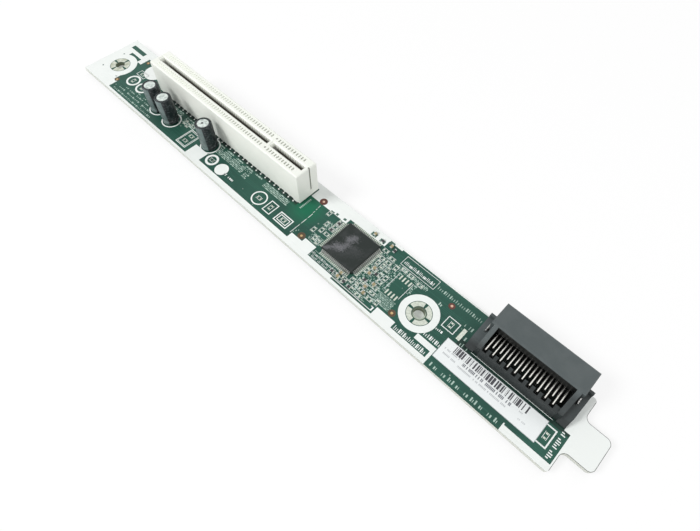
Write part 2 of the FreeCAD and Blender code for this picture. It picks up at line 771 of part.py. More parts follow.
def main():
    """Build every sub-part, check the document and write the files."""
    make_sheet()
    make_board()
    make_slot_housing()
    make_slot_contacts("slot_contacts_near", "-")
    make_slot_contacts("slot_contacts_far", "+")
    make_connector_housing()
    make_terminals("upper_long_terminals", "0", "+", "upper_long_reach")
    make_terminals("upper_short_terminals", "terminal_pitch", "+", "upper_short_reach")
    make_terminals("lower_long_terminals", "0", "-", "lower_long_reach")
    make_terminals("lower_short_terminals", "terminal_pitch", "-", "lower_short_reach")
    make_board_locks()
    make_chip_body()
    make_chip_leads()
    for number, (x, y) in CAPACITOR_PLACES.items():
        make_capacitor(number, x, y)
    make_small_parts("resistor", RESISTORS_ALONG_X, RESISTORS_ALONG_Y, "resistor_height")
    make_small_parts("ceramic", CERAMICS_ALONG_X, CERAMICS_ALONG_Y, "ceramic_height")
    make_label()
    check_document()
    export_parts()


main()
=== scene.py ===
"""Dresses a riser card: a long green board with its slot, connector, chip and capacitors.

Board places are given in millimetres: x from the plain end, y from the near edge, and z up
from the component face.  BoardFrame turns them to the model's metres.
"""

import logging
import math
from dataclasses import dataclass
from enum import Enum
from functools import cached_property, reduce
from typing import Callable, Iterable, Sequence, Union

import bpy
from mathutils import Matrix, Vector


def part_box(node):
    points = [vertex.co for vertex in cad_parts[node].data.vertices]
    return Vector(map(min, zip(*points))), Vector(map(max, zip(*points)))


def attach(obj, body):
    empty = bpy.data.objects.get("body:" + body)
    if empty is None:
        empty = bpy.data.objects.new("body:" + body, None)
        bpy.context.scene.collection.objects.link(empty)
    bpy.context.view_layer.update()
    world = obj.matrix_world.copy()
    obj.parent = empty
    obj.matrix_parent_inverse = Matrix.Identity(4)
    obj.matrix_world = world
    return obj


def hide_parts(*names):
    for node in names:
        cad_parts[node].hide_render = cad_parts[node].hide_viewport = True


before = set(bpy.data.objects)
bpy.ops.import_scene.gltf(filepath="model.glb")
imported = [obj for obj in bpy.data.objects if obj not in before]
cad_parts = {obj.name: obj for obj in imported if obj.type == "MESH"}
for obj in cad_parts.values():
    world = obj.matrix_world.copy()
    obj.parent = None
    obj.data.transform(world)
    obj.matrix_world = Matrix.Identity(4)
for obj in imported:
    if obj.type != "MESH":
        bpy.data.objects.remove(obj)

LOG = logging.getLogger("riser_card")
MM = 0.001
WHITE = (1.0, 1.0, 1.0, 1.0)
Number = Union[int, float]
Place = tuple[float, float]
Triple = tuple[float, float, float]
Colour = Triple
Rows = tuple[tuple[float, ...], ...]
Material = bpy.types.Material
Node = bpy.types.Node
NodeTree = bpy.types.NodeTree
Piece = bpy.types.Object
Socket = bpy.types.NodeSocket
Value = Union["Signal", Socket, Number, Sequence[float]]
Settings = dict[str, str]


# ------------------------------------------------------------------ places on the board

@dataclass(frozen=True)
class Card:
    """Sizes and places that several pieces and finishes share, in millimetres."""

    length: float = 232.4
    width: float = 26.4
    thickness: float = 1.6
    tab_end: float = 241.2
    end_hole: Place = (9.4, 11.7)
    middle_hole: Place = (178.7, 11.7)
    slot_middle: float = 19.15
    slot_pitch: float = 1.27
    slot_first: float = 39.885
    slot_row: float = 2.75
    terminal_first: float = 200.7485
    terminal_pitch: float = 1.237
    capacitors: tuple[Place, ...] = ((44.4, 7.9), (53.6, 7.4), (75.7, 9.7))


CARD = Card()


@dataclass(frozen=True)
class BoardFrame:
    """Turns places on the board, in millimetres, to the model's metres."""

    corner: Vector

    @classmethod
    def measured(cls) -> "BoardFrame":
        """Take the near plain corner of the component face from the board's box."""
        low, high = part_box("circuit_board")
        return cls(Vector((low.x, low.y, high.z)))

    def at(self, x: Number, y: Number, z: Number = 0.0) -> Vector:
        """A place in the model's frame, in metres."""
        return self.corner + Vector((x, y, z)) * MM


BOARD = BoardFrame.measured()


@dataclass(frozen=True)
class Box:
    """A rectangle on the board, from one corner to the other."""

    x0: float
    y0: float
    x1: float
    y1: float

    @classmethod
    def about(cls, x: float, y: float, length: float, width: float) -> "Box":
        """A rectangle given by its middle and its sides."""
        return cls(x - length / 2, y - width / 2, x + length / 2, y + width / 2)

    def holds(self, x: "Signal", y: "Signal") -> "Signal":
        """1 inside the rectangle."""
        return x.between(self.x0, self.x1) * y.between(self.y0, self.y1)


def boxes(rows: Rows) -> list[Box]:
    """Rectangles from rows of their corners."""
    return [Box(*row) for row in rows]


class Along(Enum):
    """The board direction that something runs in."""

    X = "x"
    Y = "y"

    def box(self, x: float, y: float, ahead: float, aside: float, length: float,
            width: float) -> Box:
        """A rectangle near a place, turned to this direction.

        Args:
            x: The place along the board.
            y: Its distance from the near edge.
            ahead: How far off the rectangle's middle lies in this direction.
            aside: How far off it lies across this direction.
            length: The rectangle's side in this direction.
            width: Its other side.

        Returns:
            The rectangle.
        """
        if self is Along.X:
            return Box.about(x + ahead, y + aside, length, width)
        return Box.about(x + aside, y + ahead, width, length)


# ------------------------------------------------------------------ sockets and materials

def plug(tree: NodeTree, entry: Socket, value: Value) -> None:
    """Feed one entry of a node.

    Args:
        tree: The node's tree.
        entry: The entry.
        value: A signal or a socket to link, or a plain value to set.
    """
    if isinstance(value, Signal):
        value = value.socket
    if isinstance(value, Socket):
        tree.links.new(value, entry)
    else:
        entry.default_value = value


def add_node(tree: NodeTree, kind: str, *ordered: Value, settings: Settings | None = None,
             **named: Value) -> Node:
    """Add a node.

    Args:
        tree: The tree it goes to.
        kind: Its type.
        ordered: What feeds its entries, in order.
        settings: What is chosen on it first, such as its operation.
        named: What feeds its entries, by name.

    Returns:
        The node.
    """
    made = tree.nodes.new(kind)
    for name, choice in (settings or {}).items():
        setattr(made, name, choice)
    for entry, value in zip(made.inputs, ordered):
        plug(tree, entry, value)
    for name, value in named.items():
        plug(tree, made.inputs[name], value)
    return made


def maths(operation: str, flipped: bool = False) -> Callable[..., "Signal"]:
    """Make a method of Signal that adds one Math node.

    Args:
        operation: The node's operation.
        flipped: Whether the signal itself is the last of its inputs.

    Returns:
        The method.
    """
    def method(signal: "Signal", *others: Union["Signal", Number]) -> "Signal":
        """Join the signal with the other values."""
        values = (*others, signal) if flipped else (signal, *others)
        return signal.through("ShaderNodeMath", *values, operation=operation)

    return method


@dataclass(frozen=True)
class Signal:
    """One value socket, with arithmetic that adds Math nodes to its tree.

    over and under give 1 past a limit.  or_ is the larger of two values, wrapped the distance
    past the last multiple of a pitch, and stepped the whole number below.
    """

    tree: NodeTree
    socket: Socket

    __add__ = maths("ADD")
    __radd__ = maths("ADD", True)
    __sub__ = maths("SUBTRACT")
    __rsub__ = maths("SUBTRACT", True)
    __mul__ = maths("MULTIPLY")
    __rmul__ = maths("MULTIPLY", True)
    __truediv__ = maths("DIVIDE")
    __abs__ = maths("ABSOLUTE")
    over = maths("GREATER_THAN")
    under = maths("LESS_THAN")
    or_ = maths("MAXIMUM")
    wrapped = maths("FLOORED_MODULO")
    stepped = maths("FLOOR")
    root = maths("SQRT")

    def through(self, kind: str, *values: Value, **settings: str) -> "Signal":
        """Add a node to the signal's tree and return its first output."""
        node = add_node(self.tree, kind, *values, settings=settings)
        return Signal(self.tree, node.outputs[0])

    def between(self, low: Number, high: Number) -> "Signal":
        """1 where the value lies between two limits."""
        return self.over(low) * self.under(high)

    def ramp(self, low: Number, high: Number) -> "Signal":
        """Rise from 0 at low to 1 at high, and stay there."""
        return self.through("ShaderNodeMapRange", self, low, high)


def distance(dx: Signal, dy: Signal) -> Signal:
    """Length of a plane vector."""
    return (dx * dx + dy * dy).root()


def largest(signals: Iterable[Signal]) -> Signal:
    """The largest of several values."""
    return reduce(Signal.or_, signals)


def blend(tree: NodeTree, share: Union[Signal, Number], lit: Socket, shown: Socket,
          output: str) -> None:
    """Mix a second shader in where the camera looks, straight, off a gloss or through glass.

    Args:
        tree: The node tree.
        share: How much of the second shader shows there.
        lit: The first shader, which also lights the scene.
        shown: The second shader.
        output: The tree's output node.
    """
    rays = add_node(tree, "ShaderNodeLightPath").outputs
    seen = largest(Signal(tree, rays[f"Is {kind} Ray"])
                   for kind in ("Camera", "Glossy", "Transmission"))
    mixed = add_node(tree, "ShaderNodeMixShader", seen * share, lit, shown)
    plug(tree, tree.nodes[output].inputs[0], mixed.outputs[0])


class Finish:
    """One material: a Principled shader, and what its kind paints over it."""

    name: str
    base: Colour
    roughness: float
    metallic: float = 0.0
    specular: float = 0.5

    @cached_property
    def material(self) -> Material:
        """Make the material, in one plain colour.

        Returns:
            The material.
        """
        made = bpy.data.materials.new(self.name)
        made.use_nodes = True
        made.diffuse_color = (*self.base, 1.0)
        return made

    @property
    def tree(self) -> NodeTree:
        """The material's nodes."""
        return self.material.node_tree

    def paint(self) -> None:
        """Add what varies over the surface."""
        raise NotImplementedError

    def build(self) -> Material:
        """Set the plain shader and paint over it.

        Returns:
            The material.
        """
        self.feed("Base Color", (*self.base, 1.0))
        self.feed("Roughness", self.roughness)
        self.feed("Metallic", self.metallic)
        self.feed("Specular IOR Level", self.specular)
        self.paint()
        return self.material

    def feed(self, entry: str, value: Value) -> None:
        """Feed one of the shader's entries."""
        plug(self.tree, self.tree.nodes["Principled BSDF"].inputs[entry], value)

    def node(self, kind: str, *ordered: Value, settings: Settings | None = None,
             **named: Value) -> Node:
        """Add a node to the material, as add_node does."""
        return add_node(self.tree, kind, *ordered, settings=settings, **named)

    @cached_property
    def vector(self) -> Socket:
        """Find the board place of the shaded point.

        Returns:
            The place in millimetres, as one vector.
        """
        place = self.node("ShaderNodeTexCoord").outputs["Object"]
        for choice, amount in (("SUBTRACT", BOARD.corner), ("MULTIPLY", [1.0 / MM] * 3)):
            place = self.node("ShaderNodeVectorMath", place, amount,
                              settings={"operation": choice}).outputs[0]
        return place

    @cached_property
    def place(self) -> tuple[Signal, Signal, Signal]:
        """The same place as three signals."""
        axes = self.node("ShaderNodeSeparateXYZ", Vector=self.vector)
        return tuple(Signal(self.tree, output) for output in axes.outputs)

    def noise(self, scale: float, detail: float = 3.0, stretch: Triple = (1.0, 1.0, 1.0)) -> Signal:
        """Cloudy noise on the board place.

        Args:
            scale: Clouds per millimetre.
            detail: Octaves.
            stretch: Scale along each axis.

        Returns:
            A value of about 0.5.
        """
        mapped = self.node("ShaderNodeMapping", Vector=self.vector, Scale=stretch).outputs[0]
        cloud = self.node("ShaderNodeTexNoise", Vector=mapped, Scale=scale, Detail=detail)
        return Signal(self.tree, cloud.outputs[0])

    def cells(self, scale: float) -> Signal:
        """Distance to the nearest of a scatter of points, in cells."""
        dots = self.node("ShaderNodeTexVoronoi", Vector=self.vector, Scale=scale)
        return Signal(self.tree, dots.outputs["Distance"])

    def grain(self, *parts: Signal) -> Signal:
        """A random value for each whole-number cell of one to three signals."""
        cell = self.node("ShaderNodeCombineXYZ", *parts).outputs[0]
        return Signal(self.tree, self.node("ShaderNodeTexWhiteNoise", cell).outputs["Value"])

    def mix(self, share: Signal, first: Union[Colour, Socket],
            second: Union[Colour, Socket]) -> Socket:
        """Blend two colours.

        Args:
            share: How much of the second shows.
            first: A colour or a colour socket.
            second: The same.

        Returns:
            The blended colour's socket.
        """
        made = self.node("ShaderNodeMix", share, settings={"data_type": "RGBA"})
        for entry, value in ((made.inputs[6], first), (made.inputs[7], second)):
            plug(self.tree, entry, (*value, 1.0) if isinstance(value, tuple) else value)
        return made.outputs[2]

    def layers(self, first: Union[Colour, Socket],
               *layers: tuple[Signal, Union[Colour, Socket]]) -> Socket:
        """Lay colours over one another.

        Args:
            first: The lowest colour.
            layers: How much of each next one shows, and its colour.

        Returns:
            The colour on top.
        """
        for share, colour in layers:
            first = self.mix(share, first, colour)
        return first

    def bump(self, height: Signal, depth: float) -> None:
        """Raise the surface by a height signal, with its depth in millimetres."""
        made = self.node("ShaderNodeBump", Height=height, Distance=depth * MM, Strength=0.6)
        self.feed("Normal", made.outputs[0])

    def colour(self, socket: Socket) -> None:
        """Feed the base colour."""
        self.feed("Base Color", socket)

    def rough(self, value: Signal) -> None:
        """Feed the roughness."""
        self.feed("Roughness", value)


@dataclass(frozen=True)
class Mask(Finish):
    """Green solder mask over faint copper tracks, with pale bare laminate at the cut edges."""

    name: str = "solder_mask"
    base: Colour = (0.017, 0.079, 0.056)
    roughness: float = 0.42
    specular: float = 0.3
    track: Colour = (0.022, 0.100, 0.072)
    gap: Colour = (0.012, 0.060, 0.043)
    fresh: Colour = (0.004, 0.135, 0.066)
    dark: Colour = (0.003, 0.009, 0.007)
    via: Colour = (0.46, 0.54, 0.47)
    white: Colour = (0.79, 0.82, 0.80)
    laminate: Colour = (0.66, 0.67, 0.62)
    rim_grey: Colour = (0.13, 0.14, 0.13)
    bore: Colour = (0.20, 0.23, 0.17)
    painted_hole_shade: Colour = (0.42, 0.50, 0.40)
    painted_deep_shade: Colour = (0.055, 0.075, 0.052)
    slot: Box = Box(37.2, 12.9, 120.2, 15.2)
    bay: Box = Box(199.6, 14.9, 225.4, 27.0)
    foot: Box = Box(193.0, 11.7, 231.6, 14.4)
    end_print: float = 231.8
    fresh_spot: Place = (124.0, 15.0)
    first_tail: Place = (1.24, 14.05)
    tail_pitch: float = 2.54
    lane: float = 0.62
    skin: float = 0.02
    bore_radius: float = 1.86
    rim_radius: float = 2.12
    painted_hole_radius: float = 2.42

    def outline(self) -> Signal:
        """Find a thin rim just inside the edge, round the board's end and its tab.

        Returns:
            1 on the rim.
        """
        x, y, _ = self.place
        middle, half, tip, root, gap = 13.4, 5.7, 1.8, 1.9, 0.15
        end, board = CARD.tab_end, CARD.length
        aside = abs(y - middle)
        corner = distance((x - (end - tip)).or_(0.0), (aside - (half - tip)).or_(0.0))
        rim = corner.over(tip - gap) * x.over(board + root)
        neck = (distance(x - (board + root), aside - (half + root)).under(root + gap)
                * x.under(board + root) * aside.under(half + root))
        return rim.or_(neck).or_(x.over(board - gap) * aside.over(half + root))

    def paint(self) -> None:
        """Paint the mask, the painted shade on it, the edges and the bores."""
        x, y, z = self.place
        upper = z.over(-self.skin)
        lane = (y / self.lane).stepped()
        run = (x / 8.5 + self.grain(lane) * 9.0).stepped()
        tracks = y.wrapped(self.lane).under(0.26) * self.grain(lane, run).over(0.62)
        ring = self.cells(0.30).under(0.085)
        # a brighter patch past the slot's end, and painted shade at the slot's foot, under the
        # connector's bay and along the connector's foot
        lively = distance(x - self.fresh_spot[0], y - self.fresh_spot[1]).ramp(8.0, 2.0) * 0.8
        band = self.slot.holds(x, y)
        fringe = (y.ramp(self.slot.y0, self.slot.y0 + 1.0) * band
                  * self.noise(1.3).ramp(0.25, 0.5) * 0.92)
        foot = self.foot.holds(x, y) * (0.62 + 0.2 * self.noise(0.6))
        half = self.tail_pitch / 2
        tails = distance((x - self.first_tail[0] + half).wrapped(self.tail_pitch) - half,
                         y - self.first_tail[1]).under(0.30)
        # painted shade round the middle hole: a ring coloured like the shaded floor seen through
        # it, darker on its far side and at its outer rim
        dx, dy = x - CARD.middle_hole[0], y - CARD.middle_hole[1]
        off = distance(dx, dy)
        shade = ((dy - dx).ramp(-1.4, 1.0) * 0.95).or_(off.over(self.rim_radius) * 0.9)
        sides = z.between(-CARD.thickness + self.skin, -self.skin)
        plies = z.wrapped(0.2).under(0.08) * 0.12 + self.noise(2.5) * 0.12
        # the holes' bore walls, their tin darkened as painted shade
        bores = largest(distance(x - hole_x, y - hole_y).under(self.bore_radius)
                        for hole_x, hole_y in (CARD.end_hole, CARD.middle_hole))
        self.colour(self.layers(
            self.gap,
            (self.noise(0.05, 4.0).ramp(0.38, 0.62), self.base),
            (tracks * 0.6, self.track),
            (ring * 0.4, self.via),
            (lively * upper, self.fresh),
            # painted shade: the dark colour laid at the slot's foot, in the connector's bay and
            # along its foot
            (fringe.or_(self.bay.holds(x, y)) * upper, self.dark),
            (foot * upper, self.dark),
            (tails * band * upper, self.white),
            (x.over(self.end_print) * upper, self.white),
            (self.outline() * upper, self.rim_grey),
            # painted shade: the ring round the middle hole
            (off.under(self.painted_hole_radius) * upper, self.mix(shade, self.painted_hole_shade, self.painted_deep_shade)),
            (sides, self.mix(plies, self.laminate, self.base)),
            (bores, self.bore)))
        self.feed("Metallic", bores)
        self.rough(0.40 + 0.12 * self.noise(0.8) + 0.3 * sides)
        self.bump(tracks * (1.0 - sides) * 0.5 + ring * 0.4 + self.noise(1.6) * 0.2, 0.02)


@dataclass(frozen=True)
class Ink(Finish):
    """White or faint screen print, a little thin where tracks pass under it."""

    name: str
    base: Colour
    thin: Colour
    roughness: float = 0.55
    specular: float = 0.4
    lane: float = 0.9

    def paint(self) -> None:
        """Paint the print."""
        x, y, _ = self.place
        lane = (y / self.lane).stepped()
        shown = self.grain(lane, (x / 8.0 + self.grain(lane) * 7.0).stepped()).over(0.7)
        tracks = y.wrapped(self.lane).under(0.3) * shown
        share = self.noise(0.12, 5.0).ramp(0.45, 0.75) * 0.4 + tracks * 0.12
        self.colour(self.mix(share, self.base, self.thin))
        self.rough(0.5 + 0.15 * self.noise(1.2))
        self.bump(tracks + self.noise(3.0) * 0.5, 0.02)


@dataclass(frozen=True)
class Metal(Finish):
    """Plated or tinned metal, cloudy and faintly scratched."""

    name: str
    base: Colour
    dull: Colour
    roughness: float = 0.3
    scale: float = 1.5
    metallic: float = 1.0

    def paint(self) -> None:
        """Paint the clouds and scratches."""
        cloud = self.noise(self.scale, 4.0)
        scratch = self.noise(4.0, 2.0, (0.3, 4.0, 4.0))
        self.colour(self.mix(cloud.ramp(0.4, 0.75), self.base, self.dull))
        self.rough(self.roughness - 0.08 + 0.3 * cloud * scratch + 0.06 * scratch)
        self.bump(cloud + 0.4 * scratch, 0.015)


@dataclass(frozen=True)
class Blades(Finish):
    """Plated terminals, bright along the middle of each blade, with a painted dark reflection on
    its sides.
    """

    name: str = "terminal_plate"
    base: Colour = (0.86, 0.85, 0.80)
    dull: Colour = (0.07, 0.068, 0.058)
    roughness: float = 0.3
    metallic: float = 1.0
    half: float = 0.12

    def paint(self) -> None:
        """Paint the blades."""
        x, _, _ = self.place
        first, pitch = CARD.terminal_first, CARD.terminal_pitch
        aside = abs((x - first + pitch / 2).wrapped(pitch) - pitch / 2)
        cloud = self.noise(1.5, 4.0)
        # painted reflection: the dull colour covers each blade's sides, where the rounded edges
        # would reflect the dark surroundings
        share = aside.over(self.half) * 0.85 + cloud.ramp(0.4, 0.75) * 0.15
        self.colour(self.mix(share, self.base, self.dull))
        self.rough(0.24 + 0.16 * cloud)
        self.bump(cloud, 0.012)


@dataclass(frozen=True)
class Moulding(Finish):
    """Moulded plastic with a fine spark-eroded grain, and painted shade in its hollows."""

    worn: Colour
    painted_deep_shade: Colour
    relief: float

    def inside(self) -> Signal:
        """How much painted shade each place gets."""
        raise NotImplementedError

    def paint(self) -> None:
        """Paint the grain, the wear and the painted shade."""
        cloud = self.noise(0.25, 5.0)
        speck = self.noise(6.0)
        self.colour(self.layers(
            self.base, (cloud.ramp(0.4, 0.8) * 0.6 + speck.ramp(0.5, 0.8) * 0.25, self.worn),
            (self.inside(), self.painted_deep_shade)))
        self.rough(self.roughness - 0.06 + 0.12 * speck)
        self.bump(speck + 0.3 * cloud, self.relief)


@dataclass(frozen=True)
class SlotPlastic(Moulding):
    """The slot's ivory moulding, with a painted glow in its card gap and windows for the light that
    its thin walls let through.
    """

    name: str = "ivory_moulding"
    base: Colour = (0.83, 0.85, 0.79)
    worn: Colour = (0.79, 0.81, 0.75)
    painted_deep_shade: Colour = (0.070, 0.066, 0.045)
    roughness: float = 0.42
    relief: float = 0.02
    half: float = 4.3
    ends: Place = (37.0, 120.4)
    teeth: float = 39.26
    key: float = 103.22
    groove_start: float = 120.5
    groove: Place = (20.10, 20.70)

    def gap(self) -> tuple[Signal, Signal]:
        """Find the slot's inside.

        Returns:
            The distance from the slot's middle line, and 1 between its outer walls.
        """
        x, y, _ = self.place
        across = abs(y - CARD.slot_middle)
        return across, across.under(self.half) * x.between(*self.ends)

    def inside(self) -> Signal:
        """Paint shade into the card gap, the dents beside the key and the end groove.

        Returns:
            How much painted shade each place gets.
        """
        x, y, z = self.place
        across, inner = self.gap()
        # the gap's painted shade has ragged teeth where the contacts' tips stand behind the far
        # wall
        teeth = ((x - self.teeth).wrapped(CARD.slot_pitch).under(0.62) * 0.55
                 + x.wrapped(0.97).under(0.4) * 0.25)
        gap = across.under(2.0) * (z - teeth).ramp(12.9, 11.7) * 0.88
        dents = distance(x - self.key, across - CARD.slot_row).under(0.42) * z.over(13.6) * 0.6
        # painted shade that widens the end groove's dark line
        groove = x.over(self.groove_start) * y.between(*self.groove) * z.over(3.4) * 0.5
        return (gap * inner).or_(groove).or_(dents)

    def paint(self) -> None:
        """Paint the moulding, and a painted glow in its windows and its card gap."""
        super().paint()
        x, _, z = self.place
        across, inner = self.gap()
        # painted glow: a little emission in the moulding's own colour in the card gap and the
        # windows
        gap = across.under(1.6) * z.under(14.0) * 0.09
        windows = (abs(across - CARD.slot_row).under(0.45) * z.under(14.1)
                   * (0.34 - x.ramp(48.0, 96.0) * 0.32))
        self.feed("Emission Color", self.mix(gap.or_(windows) * inner, (0.0, 0.0, 0.0), self.base))
        self.feed("Emission Strength", 1.0)


@dataclass(frozen=True)
class ConnectorPlastic(Moulding):
    """The connector's dark moulding."""

    name: str = "dark_moulding"
    base: Colour = (0.070, 0.085, 0.087)
    worn: Colour = (0.098, 0.113, 0.115)
    painted_deep_shade: Colour = (0.004, 0.005, 0.005)
    roughness: float = 0.46
    relief: float = 0.04
    specular: float = 0.3
    middle: float = 212.5
    half: float = 12.82
    far_side: float = 225.4

    def inside(self) -> Signal:
        """Paint shade into the connector's bay, its notches, its foot and its far side.

        Returns:
            How much painted shade each place gets.
        """
        x, y, z = self.place
        across = abs(x - self.middle).under(self.half)
        bay = across * y.between(15.05, 28.6) * z.under(8.7)
        notches = across * y.between(13.36, 15.1) * z.under(4.4)
        foot = z.ramp(7.6, 4.4) * y.ramp(16.4, 14.2) * 0.72
        return bay.or_(notches).or_(foot).or_(x.over(self.far_side) * z.ramp(8.6, 7.4) * 0.55)


@dataclass(frozen=True)
class Package(Finish):
    """Black moulding compound with a round mark at one corner and a rubbed, smeared patch.

    Each smear runs from one place to another, with a reach and a weight.
    """

    name: str = "chip_moulding"
    base: Colour = (0.012, 0.017, 0.015)
    roughness: float = 0.5
    specular: float = 0.3
    rubbed: Colour = (0.24, 0.24, 0.26)
    mark: Place = (142.2, 19.0)
    mark_radius: float = 0.55
    top: float = 1.45
    smears: Rows = (
        (140.7, 7.2, 143.4, 10.3, 0.85, 0.70), (143.4, 10.6, 145.2, 11.2, 1.35, 0.90),
        (145.2, 12.2, 145.7, 13.6, 1.20, 0.75), (144.9, 15.4, 145.9, 17.0, 1.35, 0.80),
        (146.2, 13.2, 149.0, 14.2, 0.90, 0.24), (147.2, 11.8, 150.6, 13.4, 1.80, 0.14),
        (142.6, 7.4, 148.0, 10.6, 1.50, 0.10),
    )

    def paint(self) -> None:
        """Paint the smears, the mark and the grain."""
        x, y, z = self.place
        streak = (self.noise(2.2, 6.0, (0.8, 1.0, 1.0)) - 0.5) * 3.6
        combed = ((x - y * 0.6) / 0.34).stepped()
        patches = []
        for x0, y0, x1, y1, radius, weight in self.smears:
            long_x, long_y = x1 - x0, y1 - y0
            length = math.hypot(long_x, long_y)
            share = (((x - x0) * long_x + (y - y0) * long_y) / length).ramp(0.0, length)
            reach = distance(x - x0 - share * long_x, y - y0 - share * long_y) / radius
            patches.append((reach + streak).ramp(1.5, 0.2) * weight)
        upper = z.over(self.top)
        rub = largest(patches) * upper * (0.7 + 0.3 * self.grain(combed))
        dot = distance(x - self.mark[0], y - self.mark[1]).under(self.mark_radius)
        speck = self.noise(9.0, 2.0)
        haze = self.noise(0.35).ramp(0.5, 0.7) * upper * 0.06
        self.colour(self.mix((rub * (0.45 + 0.55 * speck)).or_(haze), self.base, self.rubbed))
        self.rough(0.55 - 0.2 * dot + 0.1 * speck - 0.1 * rub)
        self.bump(speck * 0.5 - dot, 0.04)


@dataclass(frozen=True)
class Sleeve(Finish):
    """Dark mottled shrink sleeve of a capacitor, with a pale dashed stripe."""

    name: str
    x: float
    y: float
    base: Colour = (0.008, 0.013, 0.014)
    light: Colour = (0.100, 0.115, 0.120)
    pale: Colour = (0.135, 0.185, 0.180)
    roughness: float = 0.34
    specular: float = 0.35
    facing: float = -88.0
    spread: float = 42.0
    soft: float = 3.0

    def paint(self) -> None:
        """Paint the stripe, its dashes and the mottling."""
        x, y, z = self.place
        dx, dy = x - self.x, y - self.y
        toward = math.radians(self.facing)
        along = (dx * math.cos(toward) + dy * math.sin(toward)) / distance(dx, dy)
        outer, inner, core = (math.cos(math.radians(angle)) for angle in (
            self.spread + self.soft, self.spread - self.soft, self.spread * 0.32))
        stripe = along.ramp(outer, inner) * z.between(0.6, 11.3)
        dashes = along.over(core) * z.wrapped(2.6).under(1.1) * z.between(2.9, 10.2)
        wear = self.noise(0.9, 5.0)
        marks = self.noise(1.1, 3.0, (1.0, 1.0, 1.6)).ramp(0.52, 0.66) * (1.0 - stripe)
        self.colour(self.layers(
            self.base, (stripe, self.pale),
            (dashes * 0.4 + wear.ramp(0.45, 0.75) * stripe * 0.35, self.base),
            (marks * 0.6, self.light)))
        self.rough(0.28 + 0.2 * wear)
        self.bump(wear + marks * 0.3, 0.03)


@dataclass(frozen=True)
class Paper(Finish):
    """White label with a generic bar pattern, rows of faint grey strokes and a painted shadow round
    its edge.

    Each row has its lower and upper edge, its strength and its two ends.
    """

    name: str = "label_paper"
    base: Colour = (0.80, 0.83, 0.83)
    black: Colour = (0.06, 0.06, 0.07)
    grey: Colour = (0.17, 0.18, 0.20)
    roughness: float = 0.42
    whole: Box = Box(190.2 + 0.16, 3.9 + 0.16, 225.6 - 0.16, 11.7 - 0.16)
    bars: Box = Box(194.0, 8.9, 220.7, 11.35)
    stroke: float = 0.42
    rows: Rows = (
        (7.45, 8.5, 1.0, 198.4, 215.4), (6.2, 6.8, 0.5, 197.6, 214.6),
        (8.2, 8.8, 0.5, 191.5, 197.4), (6.6, 7.2, 0.5, 190.8, 196.6),
        (8.0, 8.5, 0.4, 217.4, 222.4), (6.0, 6.5, 0.35, 218.6, 221.2),
    )

    def paint(self) -> None:
        """Paint the bars, the strokes and the painted shadow round the edge."""
        x, y, _ = self.place
        bars = (self.bars.holds(x, y) * self.grain((x / 0.24).stepped()).over(0.41)
                * x.wrapped(0.96).over(0.18))
        cell = (x / self.stroke).stepped()
        strokes = []
        for low, high, share, x0, x1 in self.rows:
            run = self.grain((x / 3.6).stepped(), cell * 0.0 + low).over(0.12)
            shown = self.grain(cell, cell * 0.0 + high).over(0.3)
            strokes.append(Box(x0, low, x1, high).holds(x, y) * run * shown
                           * x.wrapped(self.stroke).under(0.3) * share)
        fibre = self.noise(2.5, 5.0)
        # painted shadow of the label's thickness: grey just inside its edge
        edge = (1.0 - self.whole.holds(x, y)) * 0.5
        self.colour(self.layers(
            self.base, ((fibre * 0.05).or_(edge), self.grey), (largest(strokes), self.grey),
            (bars, self.black)))
        self.rough(0.36 + 0.14 * fibre)
        self.bump(fibre, 0.01)


@dataclass(frozen=True)
class Plain(Finish):
    """A small part's fired or bare surface, speckled."""

    name: str
    base: Colour
    other: Colour
    roughness: float = 0.5
    scale: float = 2.0
    specular: float = 0.4

    def paint(self) -> None:
        """Paint the speckle."""
        cloud = self.noise(self.scale, 5.0)
        self.colour(self.mix(cloud.ramp(0.35, 0.75), self.base, self.other))
        self.rough(self.roughness - 0.08 + 0.18 * cloud)
        self.bump(cloud, 0.02)


@dataclass(frozen=True)
class Pale(Finish):
    """The floor's finish: lit, and mostly shown as plain white except under the card, where it is
    tinted with painted green bounce light.
    """

    name: str = "pale_floor"
    base: Colour = (0.90, 0.90, 0.90)
    under: Colour = (0.84, 0.93, 0.80)
    roughness: float = 0.8
    card: Box = Box(3.0, 3.0, 229.0, 23.0)
    middle: Place = (120.0, 13.0)
    glow: float = 0.78
    shade: float = 0.5
    fade: Place = (450.0, 1100.0)

    def paint(self) -> None:
        """Let the shade show under the card, tint it there with painted bounce light, and fade to
        white far off.
        """
        x, y, _ = self.place
        under = self.card.holds(x, y)
        # painted bounce light: the floor under the card is tinted green
        self.colour(self.mix(under, self.base, self.under))
        white = self.node("ShaderNodeEmission", WHITE, 1.0)
        far_off = distance(x - self.middle[0], y - self.middle[1]).ramp(*self.fade)
        blend(self.tree, (self.glow - under * self.shade).or_(far_off),
              self.tree.nodes["Principled BSDF"].outputs[0], white.outputs[0], "Material Output")


